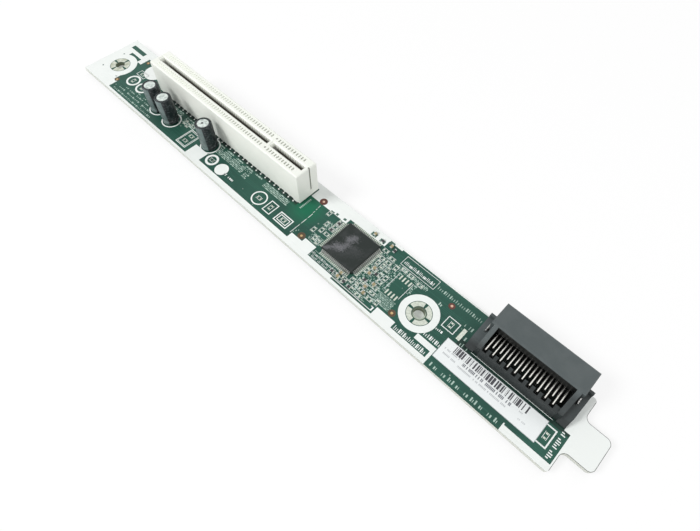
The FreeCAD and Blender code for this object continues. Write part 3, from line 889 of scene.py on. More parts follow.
class Palette:
    """Every finish on the card, built once."""

    def __init__(self) -> None:
        """Build the materials."""
        self.mask = Mask().build()
        self.ink = Ink("white_print", (0.79, 0.82, 0.80), (0.70, 0.75, 0.72)).build()
        self.faint = Ink("faint_print", (0.40, 0.52, 0.46), (0.24, 0.35, 0.30)).build()
        self.window = Plain("print_window", (0.035, 0.095, 0.070), (0.07, 0.14, 0.11)).build()
        self.tin = Metal("tinned_copper", (0.66, 0.70, 0.62), (0.44, 0.48, 0.41), 0.32).build()
        self.olive = Metal("worn_tin", (0.70, 0.73, 0.64), (0.36, 0.39, 0.28), 0.34, 0.5).build()
        self.solder = Metal("solder", (0.66, 0.68, 0.66), (0.42, 0.44, 0.42), 0.25, 2.5).build()
        self.gold = Metal("contact_gold", (0.70, 0.56, 0.32), (0.42, 0.32, 0.17)).build()
        self.terminal = Blades().build()
        self.lock = Metal("lock_tin", (0.62, 0.62, 0.60), (0.06, 0.06, 0.06), 0.3, 3.0).build()
        self.lead = Metal("lead_tin", (0.55, 0.56, 0.54), (0.36, 0.37, 0.34)).build()
        self.can = Metal("can_aluminium", (0.74, 0.81, 0.77), (0.34, 0.39, 0.37), 0.38,
                         0.9).build()
        self.copper = Metal("bare_copper", (0.72, 0.50, 0.38), (0.50, 0.31, 0.22), 0.35).build()
        self.brass = Metal("dull_copper", (0.62, 0.44, 0.22), (0.42, 0.29, 0.14), 0.35).build()
        self.bare = Plain("bare_laminate", (0.120, 0.036, 0.026), (0.075, 0.026, 0.018),
                          0.45).build()
        self.brown = Plain("brown_laminate", (0.105, 0.062, 0.032), (0.060, 0.045, 0.026),
                           0.45).build()
        self.ivory = SlotPlastic().build()
        self.dark = ConnectorPlastic().build()
        self.package = Package().build()
        self.paper = Paper().build()
        self.resistor = Plain("resistor_glaze", (0.030, 0.032, 0.034), (0.06, 0.06, 0.06),
                              0.35).build()
        self.ceramic = Plain("ceramic_tan", (0.40, 0.34, 0.20), (0.27, 0.22, 0.12)).build()
        self.rubber = Plain("bung_rubber", (0.02, 0.02, 0.025), (0.04, 0.04, 0.045), 0.7).build()


# ------------------------------------------------------------------ modelling moves

class Bench:
    """The modelling moves that the sub-assemblies share."""

    @staticmethod
    def clear() -> None:
        """Deselect everything."""
        bpy.ops.object.select_all(action="DESELECT")

    @staticmethod
    def edit() -> None:
        """Start editing the active piece, with all of it selected."""
        bpy.ops.object.mode_set(mode="EDIT")
        bpy.ops.mesh.select_all(action="SELECT")

    @staticmethod
    def rise(height: float) -> None:
        """Extrude the selected faces straight up by a height in metres."""
        bpy.ops.mesh.extrude_region_move(TRANSFORM_OT_translate={"value": (0.0, 0.0, height)})

    @staticmethod
    def draw_in(share: float, centre: Sequence[float] = (0.0, 0.0, 0.0)) -> None:
        """Scale the selection about an upright axis."""
        bpy.ops.transform.resize(value=(share, share, 1.0), center_override=tuple(centre))

    @staticmethod
    def close() -> None:
        """Turn all faces outward and stop editing."""
        bpy.ops.mesh.select_all(action="SELECT")
        bpy.ops.mesh.normals_make_consistent(inside=False)
        bpy.ops.object.mode_set(mode="OBJECT")

    @classmethod
    def circle(cls, centre: Vector, radius: float, sides: int, fill: str) -> Piece:
        """Add a flat circle.

        Args:
            centre: Its middle, in metres.
            radius: Its radius, in metres.
            sides: Its corners.
            fill: How the operator fills it.

        Returns:
            The circle, with its place in its mesh and its object at the origin.
        """
        cls.clear()
        bpy.ops.mesh.primitive_circle_add(vertices=sides, radius=radius, fill_type=fill,
                                          location=centre)
        piece = bpy.context.object
        cls.clear()
        piece.select_set(True)
        bpy.context.view_layer.objects.active = piece
        bpy.ops.object.transform_apply(location=True, rotation=True, scale=True)
        return piece

    @classmethod
    def turned(cls, x: float, y: float, stations: Sequence[Place], sides: int = 64,
               smooth: float = 35.0) -> Piece:
        """A closed turned piece on an upright axis.

        Args:
            x: The axis' place along the board.
            y: The axis' distance from the near edge.
            stations: Height and radius, in order along the outside.
            sides: Facets round the axis.
            smooth: Angle under which faces shade smooth.

        Returns:
            The piece.
        """
        height, radius = stations[0]
        centre = BOARD.at(x, y, height)
        piece = cls.circle(centre, radius * MM, sides, "NGON")
        cls.edit()
        for (low, before), (high, after) in zip(stations, stations[1:]):
            cls.rise((high - low) * MM)
            if after != before:
                cls.draw_in(after / before, (centre.x, centre.y, 0.0))
        cls.close()
        bpy.ops.object.shade_smooth_by_angle(angle=math.radians(smooth))
        return piece

    @classmethod
    def ring(cls, x: float, y: float, inner: float, outer: float, low: float, high: float,
             keep: Callable[[Vector], bool] | None = None, sides: int = 64) -> Piece:
        """A flat ring, whole or with parts of it taken out.

        Args:
            x: Its middle along the board.
            y: Its middle's distance from the near edge.
            inner: Inner radius.
            outer: Outer radius.
            low: Height of its underside.
            high: Height of its top.
            keep: Tells from a face's middle, seen from the ring's, whether it stays.
            sides: Facets round it.

        Returns:
            The ring.
        """
        centre = BOARD.at(x, y, low)
        piece = cls.circle(centre, outer * MM, sides, "NOTHING")
        cls.edit()
        bpy.ops.mesh.extrude_edges_move()
        cls.draw_in(inner / outer, centre)
        if keep is not None:
            cls.pick_faces(piece, lambda middle: not keep((middle - centre) / MM))
            bpy.ops.mesh.delete(type="FACE")
        bpy.ops.mesh.select_all(action="SELECT")
        cls.rise((high - low) * MM)
        cls.close()
        return piece

    @staticmethod
    def pick_faces(piece: Piece, wanted: Callable[[Vector], bool]) -> None:
        """Select faces in edit mode.

        Args:
            piece: The piece that is being edited.
            wanted: Tells from a face's middle whether it is selected.
        """
        bpy.ops.mesh.select_all(action="DESELECT")
        bpy.ops.object.mode_set(mode="OBJECT")
        for face in piece.data.polygons:
            face.select = wanted(face.center)
        bpy.ops.object.mode_set(mode="EDIT")
        bpy.ops.mesh.select_mode(type="FACE")

    @classmethod
    def copies(cls, master: Piece, places: Iterable[Matrix]) -> Piece:
        """Copy a piece to many places, each copy with its own mesh, and join them.

        Args:
            master: The piece, made about the model's origin.
            places: Where each copy goes.

        Returns:
            The joined copies.
        """
        made = []
        for place in places:
            mesh = master.data.copy()
            mesh.transform(place)
            copy = bpy.data.objects.new("copy", mesh)
            bpy.context.scene.collection.objects.link(copy)
            made.append(copy)
        bpy.data.objects.remove(master, do_unlink=True)
        return cls.join(made)

    @classmethod
    def join(cls, pieces: Sequence[Piece]) -> Piece:
        """Join pieces.

        Args:
            pieces: One or more pieces.

        Returns:
            The first of them, which holds them all.
        """
        cls.clear()
        for piece in pieces:
            piece.select_set(True)
        bpy.context.view_layer.objects.active = pieces[0]
        if len(pieces) > 1:
            bpy.ops.object.join()
        return pieces[0]

    @classmethod
    def tiles(cls, places: Iterable[Box], low: float, high: float, taper: float = 1.0) -> Piece:
        """Many slabs in one piece, from one tile that is copied to each rectangle.

        Args:
            places: The rectangles.
            low: Height of the slabs' undersides.
            high: Height of their tops.
            taper: Size of their tops against their undersides.

        Returns:
            The slabs.
        """
        cls.clear()
        bpy.ops.mesh.primitive_plane_add(size=1.0, location=(0.0, 0.0, 0.0))
        tile = bpy.context.object
        cls.edit()
        cls.rise(1.0)
        if taper != 1.0:
            cls.draw_in(taper)
        cls.close()
        spots = []
        for box in places:
            middle = BOARD.at((box.x0 + box.x1) / 2, (box.y0 + box.y1) / 2, low)
            sides = ((box.x1 - box.x0) * MM, (box.y1 - box.y0) * MM, (high - low) * MM, 1.0)
            spots.append(Matrix.Translation(middle) @ Matrix.Diagonal(sides))
        return cls.copies(tile, spots)


def finish_piece(piece: Piece, name: str, material: Material) -> Piece:
    """Name, dress and mount a new piece.

    Args:
        piece: The piece.
        name: Its name.
        material: Its finish.

    Returns:
        The piece.
    """
    piece.name = name
    piece.data.name = name
    piece.data.materials.clear()
    piece.data.materials.append(material)
    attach(piece, "root")
    LOG.info("%s: %d faces", name, len(piece.data.polygons))
    return piece


def dress_node(name: str, material: Material) -> None:
    """Give a carried-over solid its finish.

    Args:
        name: The solid's node.
        material: Its finish.
    """
    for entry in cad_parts[name].material_slots:
        entry.material = material
    LOG.info("%s dressed with %s", name, material.name)


# ------------------------------------------------------------------ sub-assemblies

@dataclass(frozen=True)
class Strokes:
    """Rows of short marks that stand for small print."""

    box: Box
    rows: int
    pitch: float = 0.62
    seed: int = 0
    fill: float = 0.75
    gaps: int = 2
    narrow: float = 0.45
    heights: Place = (0.5, 0.74)

    def boxes(self) -> list[Box]:
        """Place the marks, with gaps and widths that vary from one to the next.

        Returns:
            A rectangle for each mark.
        """
        made = []
        step = (self.box.y1 - self.box.y0) / self.rows
        for row in range(self.rows):
            for column in range(int((self.box.x1 - self.box.x0) / self.pitch)):
                chance = (row * 7 + column * 13 + self.seed * 5 + column * column) % 11
                if chance < self.gaps:
                    continue
                x = self.box.x0 + column * self.pitch
                y = self.box.y0 + row * step
                wide = self.pitch * self.fill * (1.0 if chance % 3 == 0 else self.narrow)
                tall = step * self.heights[chance % 2]
                made.append(Box(x, y, x + wide, y + tall))
        return made


def marks(rows: Rows) -> list[Box]:
    """The marks of rows that are given by their corners and the other fields of Strokes."""
    return [box for row in rows for box in Strokes(Box(*row[:4]), *row[4:]).boxes()]


@dataclass(frozen=True)
class Artwork:
    """The white print: borders, blocks, discs, small outlines and rows of marks."""

    palette: Palette
    level: float = 0.02
    faint_level: float = 0.022
    disc_level: float = 0.03
    film: float = 0.006
    near: float = 0.02
    far: float = CARD.width - 0.02
    borders: Rows = (
        (near, near, 15.5, 6.2), (near, 6.2, 3.9, 17.2), (14.9, 6.2, 15.5, 7.6),
        (near, 17.2, 6.1, 20.0), (12.9, 17.2, 13.5, 20.0), (13.5, 18.0, 15.5, 20.0),
        (near, 20.0, 15.5, 21.8), (near, 21.8, 2.6, 23.8), (11.7, 21.8, 15.5, 23.8),
        (near, 23.8, 15.5, far), (15.5, near, 17.7, 5.0), (17.7, near, 71.3, 1.0),
        (71.3, near, 78.4, 6.4), (78.4, near, 128.0, 2.2), (128.0, near, 133.0, 4.5),
        (133.0, near, 138.3, 6.2), (138.3, near, 150.0, 2.1), (150.0, near, 168.0, 1.1),
        (150.0, 1.75, 167.4, 1.95), (168.0, near, 175.4, 4.2), (175.4, near, 189.0, 1.9),
        (182.7, 4.4, 189.0, 6.4), (189.0, near, 190.0, 6.4), (216.7, near, 231.8, 2.2),
        (216.7, 2.2, 217.1, 2.7), (15.5, 22.6, 36.0, far), (36.0, 24.2, 121.2, far),
        (121.2, 20.2, 138.6, far), (138.6, 22.5, 154.4, far), (154.4, 25.3, 160.0, far),
        (160.0, 25.9, 195.2, far), (229.8, 12.6, 231.8, far),
    )
    lines: Rows = (
        (162.7, 25.0, 176.6, 25.15), (162.7, 21.2, 162.85, 25.0), (162.85, 21.2, 176.6, 21.35),
        (176.45, 21.35, 176.6, 25.0), (165.0, 10.8, 165.15, 18.4), (170.8, 10.8, 170.95, 18.4),
        (127.3, 4.2, 127.48, 8.7), (127.3, 9.3, 127.48, 11.9), (127.3, 12.6, 127.48, 14.9),
        (127.0, 15.4, 127.15, 16.2), (126.85, 16.9, 127.0, 17.6), (126.7, 18.1, 126.85, 19.3),
        (166.9, 1.95, 167.4, 3.3), (166.3, 3.1, 166.9, 3.3), (198.0, 12.68, 226.0, 12.8),
    )
    frames: Rows = (
        (66.5, 6.1, 5.8, 8.0, 0.28), (66.5, 6.1, 4.7, 6.9, 0.2), (22.0, 14.8, 5.2, 3.0, 0.2),
        (114.7, 6.4, 3.8, 5.2, 0.36), (122.0, 5.9, 6.4, 4.4, 0.4), (122.0, 5.9, 4.6, 2.7, 0.3),
        (227.0, 7.8, 3.6, 6.4, 0.42), (188.3, 15.5, 4.6, 4.4, 0.26),
    )
    bright: Rows = (
        (90.6, 4.3, 97.0, 5.7, 1, 0.8, 3, 0.7, 3), (176.2, 2.2, 188.6, 4.3, 1, 0.62, 1, 0.7, 2),
        (184.1, 7.1, 190.4, 9.0, 1, 0.7, 2, 0.7, 1),
        (163.5, 22.1, 176.1, 23.9, 1, 0.52, 3, 0.75, 1),
        (185.6, 11.2, 189.4, 12.3, 1, 0.6, 2, 0.9),
        (138.6, 2.4, 151.4, 4.9, 2, 0.44, 6, 0.62, 1),
        (136.6, 19.6, 138.3, 20.2, 1, 0.5, 3, 0.9),
    )
    faint: Rows = (
        (177.4, 22.4, 195.2, 24.1, 1, 0.8, 12, 0.55, 2),
        (191.4, 18.0, 196.6, 19.8, 1, 0.8, 13, 0.6, 3),
        (191.4, 0.9, 216.2, 2.8, 1, 0.74, 4, 0.6, 2),
        (194.0, 12.0, 197.4, 13.8, 1, 0.8, 14, 0.6, 2),
        (194.0, 14.2, 197.4, 16.0, 1, 0.8, 15, 0.6, 2),
        (181.0, 18.2, 183.2, 19.8, 1, 0.7, 16, 0.6, 1), (20.0, 1.8, 47.5, 2.7, 1, 0.95, 1),
        (21.5, 3.6, 45.0, 4.5, 1, 0.95, 2), (24.0, 5.3, 41.0, 6.2, 1, 0.95, 3),
        (29.0, 6.7, 40.5, 7.5, 1, 0.95, 4), (79.4, 9.1, 94.6, 12.3, 5, 0.46, 5, 0.95, 1),
        (94.9, 11.1, 98.1, 13.1, 3, 0.5, 6), (95.8, 8.4, 98.4, 10.8, 3, 0.5, 7, 0.9),
        (105.0, 10.7, 118.0, 13.2, 4, 0.46, 8, 1.0, 0),
        (76.5, 12.5, 104.5, 13.3, 1, 0.5, 9, 0.9), (57.0, 10.0, 64.4, 13.2, 4, 0.6, 10, 0.9),
        (46.5, 11.4, 55.0, 13.4, 3, 0.6, 11, 0.9),
        (163.4, 19.0, 176.0, 20.9, 4, 0.42, 15, 0.9, 2),
        (171.2, 14.2, 172.6, 18.6, 6, 0.42, 25, 0.9, 3),
        (127.8, 5.0, 129.6, 7.4, 3, 0.5, 17, 0.9, 6),
        (133.4, 6.6, 138.6, 10.2, 8, 0.5, 18, 0.9, 3),
        (134.0, 13.4, 136.2, 17.2, 8, 0.5, 27, 0.9, 4),
        (155.4, 4.3, 166.2, 21.0, 24, 0.62, 19, 0.8, 4),
        (155.4, 2.4, 164.0, 4.2, 3, 0.5, 18, 0.9, 2),
        (165.0, 5.2, 171.6, 9.3, 7, 0.4, 21, 0.95, 0),
        (139.0, 5.0, 152.5, 5.5, 1, 0.5, 23, 0.9),
    )
    windows: Rows = (
        (147.6, 22.9, 149.9, 24.5), (151.5, 22.9, 153.7, 24.3), (133.2, 20.4, 134.2, 21.3),
        (136.6, 20.7, 137.7, 21.6), (131.0, 20.3, 132.6, 20.8), (154.6, 24.2, 156.6, 25.9),
    )
    window_marks: Rows = (
        (147.7, 23.0, 149.9, 24.5, 4, 0.5, 1, 0.8, 3),
        (151.6, 23.0, 153.7, 24.3, 3, 0.5, 2, 0.8, 4),
    )
    rings: Rows = (
        (*CARD.end_hole, 4.3, 7.2), (*CARD.middle_hole, 4.3, 6.6), (22.4, 10.0, 2.3, 3.1),
        (29.2, 10.0, 2.3, 3.1), (82.0, 5.7, 1.75, 2.65), (108.6, 6.4, 2.6, 3.1),
    )
    discs: Rows = ((24.6, 19.2, 4.6), (88.3, 5.3, 2.7))
    can_ring: Place = (3.5, 4.0)
    can_ring_rise: float = 0.01

    def outlines(self) -> list[Box]:
        """Draw the printed outlines round places for parts.

        Returns:
            Four thin bars for each outline.
        """
        made = []
        for *sides, wide in self.frames:
            outer = Box.about(*sides)
            made += [
                Box(outer.x0, outer.y0, outer.x1, outer.y0 + wide),
                Box(outer.x0, outer.y1 - wide, outer.x1, outer.y1),
                Box(outer.x0, outer.y0 + wide, outer.x0 + wide, outer.y1 - wide),
                Box(outer.x1 - wide, outer.y0 + wide, outer.x1, outer.y1 - wide),
            ]
        return made

    def end_ticks(self) -> list[Box]:
        """Draw the column of ticks at the board's far end.

        Returns:
            A rectangle for each tick.
        """
        left, long, short, first, pitch, thick = 229.7, 231.0, 230.5, 3.0, 0.72, 0.34
        lows = (first + pitch * tick for tick in range(13))
        return [Box(left, y, long if step % 3 else short, y + thick)
                for step, y in enumerate(lows) if step % 6 != 4]

    def side_ticks(self) -> list[Box]:
        """The faint column of ticks between the slot and the chip."""
        lows = (13.6 + 0.62 * step for step in range(9))
        return [Box(121.9, y, 122.6, y + 0.35) for y in lows]

    def build(self) -> None:
        """Make the print."""
        ink, faint = self.palette.ink, self.palette.faint
        level, top, film = self.level, self.disc_level, self.film
        lines = boxes(self.lines) + self.outlines() + marks(self.bright) + self.end_ticks()
        for name, places, low, high, material in (
                ("white_borders", boxes(self.borders), 0.0, level, ink),
                ("white_lines", lines, 0.0, top, ink),
                ("faint_marks", marks(self.faint) + self.side_ticks(), 0.0, self.faint_level,
                 faint),
                ("print_windows", boxes(self.windows), level, level + film, self.palette.window),
                ("window_ticks", marks(self.window_marks), level + film, level + 2 * film,
                 faint)):
            finish_piece(Bench.tiles(places, low, high), name, material)
        rings = [Bench.ring(*row, 0.0, top) for row in self.rings]
        rings += [Bench.ring(*can, *self.can_ring, 0.0, top + self.can_ring_rise)
                  for can in CARD.capacitors]
        finish_piece(Bench.join(rings), "white_rings", ink)
        discs = [Bench.turned(x, y, ((0.0, radius), (top, radius)))
                 for x, y, radius in self.discs]
        finish_piece(Bench.join(discs), "white_discs", ink)


@dataclass(frozen=True)
class Copper:
    """Tinned pads: rings of pads round the holes, unfilled footprints and pads under leads."""

    palette: Palette
    level: float = 0.035
    taper: float = 0.97
    bar_level: float = 0.025
    pad: tuple[float, ...] = (0.78, 0.0, 0.62, 0.74)
    bar: tuple[float, ...] = (0.0, 0.62, 2.4, 0.14)
    bores: Place = (1.95, 2.5)
    ring_reach: float = 4.1
    ring_level: float = 0.05
    ring_below: Place = (1.9, 3.6)
    spoke: float = 0.34
    row_pitch: float = 1.27
    row_start: Place = (166.3, 10.45)
    row_far: float = 17.45
    row_pad: Place = (0.55, 1.9)
    lock_pad: Box = Box(191.9, 13.1, 193.2, 17.5)
    chip: Box = Box(140.05, 6.9, 154.05, 20.9)
    lead_pitch: float = 0.65
    lead_count: int = 20
    lead_pad: Place = (1.7, 0.36)
    lead_off: float = 0.9
    clearings: Rows = ((126.3, 21.4, 1.45), (131.3, 5.9, 1.4), (172.6, 5.8, 1.25),
                       (184.5, 20.8, 1.1), (16.7, 5.6, 1.1), (17.2, 20.8, 0.9))
    clearing_level: float = 0.04
    red: tuple[int, int] = (1, 4)
    dot: Rows = ((0.04, 0.45), (0.07, 0.43), (0.09, 0.36), (0.1, 0.2))
    along_x: tuple[Place, ...] = (
        (62.8, 11.4), (49.2, 11.9), (66.5, 7.6), (66.5, 4.6), (22.0, 14.8), (82.0, 5.7),
        (108.6, 6.4), (122.0, 5.9), (137.0, 12.3), (137.0, 14.8), (137.1, 16.4), (137.1, 18.0),
        (137.2, 19.5), (156.0, 21.6), (159.6, 20.6), (159.8, 18.6), (157.0, 18.6),
        (162.4, 11.2), (163.4, 6.6), (164.2, 4.4), (160.6, 2.9), (172.6, 19.4), (158.2, 13.6),
        (162.8, 8.6), (159.8, 7.4), (160.2, 5.0), (165.4, 20.2), (168.4, 20.0), (153.6, 4.2),
        (152.6, 2.9),
    )
    along_y: tuple[Place, ...] = (
        (58.6, 10.6), (60.6, 10.2), (22.4, 10.0), (29.2, 10.0), (114.7, 6.4), (227.0, 7.8),
        (188.3, 15.5), (132.3, 10.7), (131.4, 19.2), (134.0, 15.5), (134.5, 12.4), (135.2, 8.6),
        (137.0, 8.0), (157.2, 16.4), (159.2, 16.4), (161.2, 16.4), (163.0, 13.6), (157.6, 6.8),
        (155.6, 5.6), (166.8, 5.2), (156.6, 11.6), (160.9, 13.2), (157.8, 4.4), (162.9, 18.9),
    )

    def pairs(self, ahead: float, aside: float, length: float, width: float) -> list[Box]:
        """Place two rectangles for each unfilled footprint, on both sides of its middle.

        Args:
            ahead: How far off they lie in the footprint's direction.
            aside: How far off they lie across it.
            length: Their side in that direction.
            width: Their other side.

        Returns:
            The rectangles.
        """
        return [along.box(x, y, side * ahead, side * aside, length, width)
                for along, places in ((Along.X, self.along_x), (Along.Y, self.along_y))
                for x, y in places for side in (-1, 1)]

    def row_pads(self) -> list[Box]:
        """Place the unfilled eight-pad footprint and the pads under the chip's leads.

        Returns:
            The pads.
        """
        start, near = self.row_start
        made = [Box.about(start + self.row_pitch * column, row, *self.row_pad)
                for column in range(4) for row in (near, self.row_far)]
        made.append(self.lock_pad)
        chip, off = self.chip, self.lead_off
        first = (chip.x1 - chip.x0 - (self.lead_count - 1) * self.lead_pitch) / 2
        for number in range(self.lead_count):
            step = first + self.lead_pitch * number
            made += [Along.Y.box(chip.x0 + step, y, 0.0, 0.0, *self.lead_pad)
                     for y in (chip.y0 - off, chip.y1 + off)]
            made += [Along.X.box(x, chip.y0 + step, 0.0, 0.0, *self.lead_pad)
                     for x in (chip.x0 - off, chip.x1 + off)]
        return made

    def build(self) -> None:
        """Make the pads."""
        palette, under = self.palette, -CARD.thickness
        for name, hole, bore, metal in zip(
                ("end", "middle"), (CARD.end_hole, CARD.middle_hole), self.bores,
                (palette.olive, palette.tin)):
            pads = Bench.ring(
                *hole, bore, self.ring_reach, 0.0, self.ring_level,
                lambda middle: min(abs(middle.x), abs(middle.y)) > self.spoke, 96)
            finish_piece(pads, f"{name}_hole_pads", metal)
            below = Bench.ring(*hole, *self.ring_below, under - self.ring_level, under)
            finish_piece(below, f"{name}_hole_pad_below", metal)
        places = self.pairs(*self.pad) + self.row_pads()
        finish_piece(Bench.tiles(places, 0.0, self.level, self.taper), "tinned_pads", palette.tin)
        bars = Bench.tiles(self.pairs(*self.bar), 0.0, self.bar_level)
        finish_piece(bars, "footprint_outlines", palette.ink)
        for number, (x, y, radius) in enumerate(self.clearings, start=1):
            around, centre = ((palette.bare, palette.copper) if number in self.red
                              else (palette.brown, palette.brass))
            bare = Bench.turned(x, y, ((0.0, radius), (self.clearing_level, radius)), 40)
            finish_piece(bare, f"fiducial_clearing_{number}", around)
            finish_piece(Bench.turned(x, y, self.dot, 32), f"fiducial_dot_{number}", centre)


@dataclass(frozen=True)
class Capacitor:
    """One standing capacitor: sleeve with its crimp, bare top, rubber bung and, on one, a vent.

    The side is given by height and how far it lies in from the radius; the rim, the lid and the
    vent by depth under the top and radius; the bung by height and radius.
    """

    palette: Palette
    number: int
    x: float
    y: float
    has_vent: bool = False
    radius: float = 3.15
    height: float = 11.5
    shoulder: float = 0.45
    foot: Place = (0.35, 2.4)
    side: Rows = ((0.35, 0.25), (0.42, 0.08), (0.55, 0.0), (1.55, 0.0), (1.75, 0.13),
                  (1.95, 0.27), (2.15, 0.27), (2.35, 0.13), (2.55, 0.0))
    rim: Rows = ((0.0, 2.35), (0.06, 2.2), (0.16, 2.15))
    lid: Rows = ((0.16, 2.14), (0.10, 2.14), (0.08, 2.05), (0.07, 0.4))
    vent: Rows = ((0.075, 0.42), (0.06, 0.4), (0.055, 0.3))
    vent_off: Place = (-0.2, -0.1)
    bung: Rows = ((0.0, 2.2), (0.1, 2.45), (0.34, 2.45))

    def under_top(self, profile: Rows) -> list[Place]:
        """Heights and radii of a profile that is given by its depth under the top."""
        return [(self.height - depth, radius) for depth, radius in profile]

    def sleeve(self) -> list[Place]:
        """Find the outside of the sleeve, from its foot over its round shoulder to its rim.

        Returns:
            Heights and radii.
        """
        turns = [math.radians(15.0 * step) for step in range(7)]
        low, reach = self.height - self.shoulder, self.radius - self.shoulder
        return [self.foot, *((height, self.radius - inset) for height, inset in self.side),
                *((low + self.shoulder * math.sin(turn), reach + self.shoulder * math.cos(turn))
                  for turn in turns),
                *self.under_top(self.rim)]

    def build(self) -> None:
        """Make the sleeve, the top and the bung, and stand them for the solid."""
        sleeve = Bench.turned(self.x, self.y, self.sleeve(), 72)
        name = f"capacitor_sleeve_{self.number}"
        finish_piece(sleeve, name, Sleeve(name, self.x, self.y).build())
        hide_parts(f"capacitor_can_{self.number}")
        top = Bench.turned(self.x, self.y, self.under_top(self.lid), 56)
        finish_piece(top, f"capacitor_top_{self.number}", self.palette.can)
        bung = Bench.turned(self.x, self.y, self.bung, 48)
        finish_piece(bung, f"capacitor_bung_{self.number}", self.palette.rubber)
        if self.has_vent:
            vent = Bench.turned(self.x + self.vent_off[0], self.y + self.vent_off[1],
                                self.under_top(self.vent), 28)
            finish_piece(vent, f"capacitor_vent_{self.number}", self.palette.rubber)


@dataclass(frozen=True)
class Underside:
    """Solder cones under the board where tails and wires come through."""

    palette: Palette
    radius: float = 0.55
    steps: Rows = ((0.25, 0.62), (0.35, 0.62), (0.5, 0.85))
    key: tuple[int, int] = (49, 50)
    positions: int = 62
    slot_rows: Place = (3.18, 1.27)
    wires: float = 1.25
    terminals: int = 20
    terminal_rows: tuple[Place, Place] = ((14.15, 17.6), (16.05, 19.1))

    def places(self) -> list[Place]:
        """Find where the slot's tails, the capacitors' wires and the terminals come through.

        Returns:
            The place of each joint.
        """
        made = []
        for position in range(self.positions):
            if position not in self.key:
                x = CARD.slot_first + CARD.slot_pitch * position
                off = self.slot_rows[position % 2]
                made += [(x, CARD.slot_middle - off), (x, CARD.slot_middle + off)]
        for x, y in CARD.capacitors:
            made += [(x - self.wires, y), (x + self.wires, y)]
        for number in range(self.terminals):
            x = CARD.terminal_first + CARD.terminal_pitch * number
            made += [(x, row) for row in self.terminal_rows[number % 2]]
        return made

    def build(self) -> None:
        """Model one cone and copy it."""
        cone = Bench.circle(Vector(), self.radius * MM, 10, "NGON")
        Bench.edit()
        for sink, share in self.steps:
            Bench.rise(-sink * MM)
            Bench.draw_in(share)
        Bench.close()
        bpy.ops.object.shade_smooth_by_angle(angle=math.radians(40.0))
        spots = [Matrix.Translation(BOARD.at(x, y, -CARD.thickness)) for x, y in self.places()]
        finish_piece(Bench.copies(cone, spots), "solder_joints", self.palette.solder)


@dataclass(frozen=True)
class Carried:
    """The solids that stay as they are, each with its finish."""

    palette: Palette

    def build(self) -> None:
        """Dress them."""
        p = self.palette
        for material, names in (
                (p.mask, "circuit_board"), (p.ivory, "slot_housing"),
                (p.gold, "slot_contacts_near slot_contacts_far"), (p.dark, "connector_housing"),
                (p.terminal, "upper_long_terminals upper_short_terminals lower_long_terminals "
                             "lower_short_terminals"),
                (p.lock, "connector_board_locks"), (p.package, "bridge_chip_body"),
                (p.lead, "bridge_chip_leads capacitor_wires_1 capacitor_wires_2 "
                         "capacitor_wires_3"),
                (p.resistor, "resistor_bodies"), (p.ceramic, "ceramic_bodies"),
                (p.solder, "resistor_end_caps ceramic_end_caps"), (p.paper, "barcode_label")):
            for name in names.split():
                dress_node(name, material)


@dataclass(frozen=True)
class Lamp:
    """A round soft lamp that is aimed at the middle of the card, in metres and watts."""

    name: str
    place: Triple
    size: float
    power: float


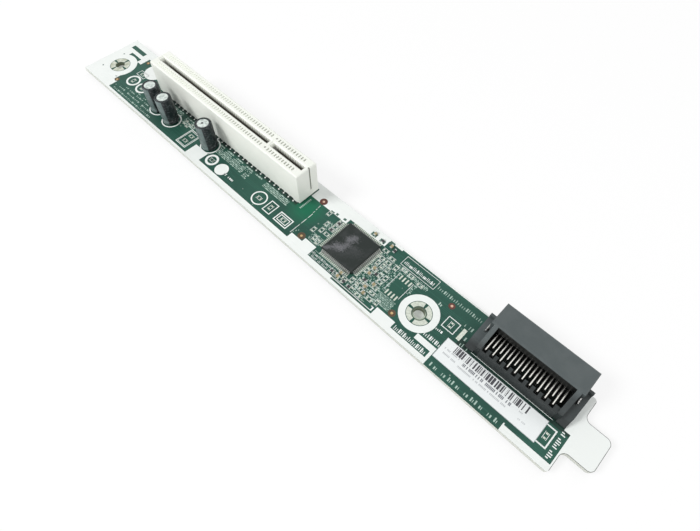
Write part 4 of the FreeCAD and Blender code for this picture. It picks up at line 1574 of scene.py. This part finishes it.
@dataclass(frozen=True)
class Studio:
    """Pale floor, soft lamps and the camera."""

    lens: float = 24.48
    camera_place: Triple = (0.08533, -0.06305, 0.13795)
    right: Triple = (0.71694083, 0.69708599, 0.00818317)
    down: Triple = (0.60372366, -0.61496423, -0.50728369)
    ahead: Triple = (-0.348588, 0.36863277, -0.86174027)
    sensor: float = 36.0
    clip: Place = (0.005, 20.0)
    ambient: float = 0.47
    floor_size: float = 6.0
    floor_drop: float = 0.00005
    lamps: tuple[Lamp, ...] = (
        Lamp("key", (-0.55, -0.75, 0.95), 0.45, 10.8),
        Lamp("fill", (0.95, -0.35, 0.70), 0.90, 4.4),
        Lamp("back", (0.20, 0.95, 0.75), 0.80, 2.2),
    )

    def world(self) -> None:
        """A plain world that lights softly and shows white."""
        world = bpy.data.worlds.new("studio")
        bpy.context.scene.world = world
        world.use_nodes = True
        tree = world.node_tree
        lit = tree.nodes["Background"]
        plug(tree, lit.inputs[0], WHITE)
        plug(tree, lit.inputs[1], self.ambient)
        white = add_node(tree, "ShaderNodeBackground", WHITE, 1.0)
        blend(tree, 1.0, lit.outputs[0], white.outputs[0], "World Output")

    def floor(self) -> None:
        """A wide pale floor that keeps the card's shadow."""
        Bench.clear()
        bpy.ops.mesh.primitive_plane_add(size=self.floor_size,
                                         location=(0.0, 0.0, -self.floor_drop))
        floor = bpy.context.object
        floor.name = "floor"
        floor.data.materials.append(Pale().build())

    def lights(self) -> None:
        """Place the lamps."""
        for lamp in self.lamps:
            data = bpy.data.lights.new(lamp.name, "AREA")
            data.shape = "DISK"
            data.size = lamp.size
            data.energy = lamp.power
            holder = bpy.data.objects.new(lamp.name, data)
            bpy.context.scene.collection.objects.link(holder)
            holder.location = lamp.place
            holder.rotation_euler = (-Vector(lamp.place)).to_track_quat("-Z", "Y").to_euler()

    def camera(self) -> None:
        """The camera, at its measured place."""
        data = bpy.data.cameras.new("camera")
        data.lens = self.lens
        data.sensor_width = self.sensor
        data.clip_start, data.clip_end = self.clip
        camera = bpy.data.objects.new("camera", data)
        bpy.context.scene.collection.objects.link(camera)
        turn = Matrix((self.right, [-part for part in self.down], [-part for part in self.ahead]))
        camera.matrix_world = Matrix.Translation(self.camera_place) @ turn.transposed().to_4x4()
        bpy.context.scene.camera = camera

    def build(self) -> None:
        """Set up the studio."""
        bpy.context.scene.view_settings.view_transform = "Standard"
        self.world()
        self.floor()
        self.lights()
        self.camera()


def main() -> None:
    """Build every sub-assembly in order."""
    logging.basicConfig(level=logging.INFO, format="%(message)s")
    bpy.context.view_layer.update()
    palette = Palette()
    Carried(palette).build()
    Artwork(palette).build()
    Copper(palette).build()
    for number, (x, y) in enumerate(CARD.capacitors, start=1):
        Capacitor(palette, number, x, y, number == 3).build()
    Underside(palette).build()
    Studio().build()


if __name__ == "__main__":
    main()
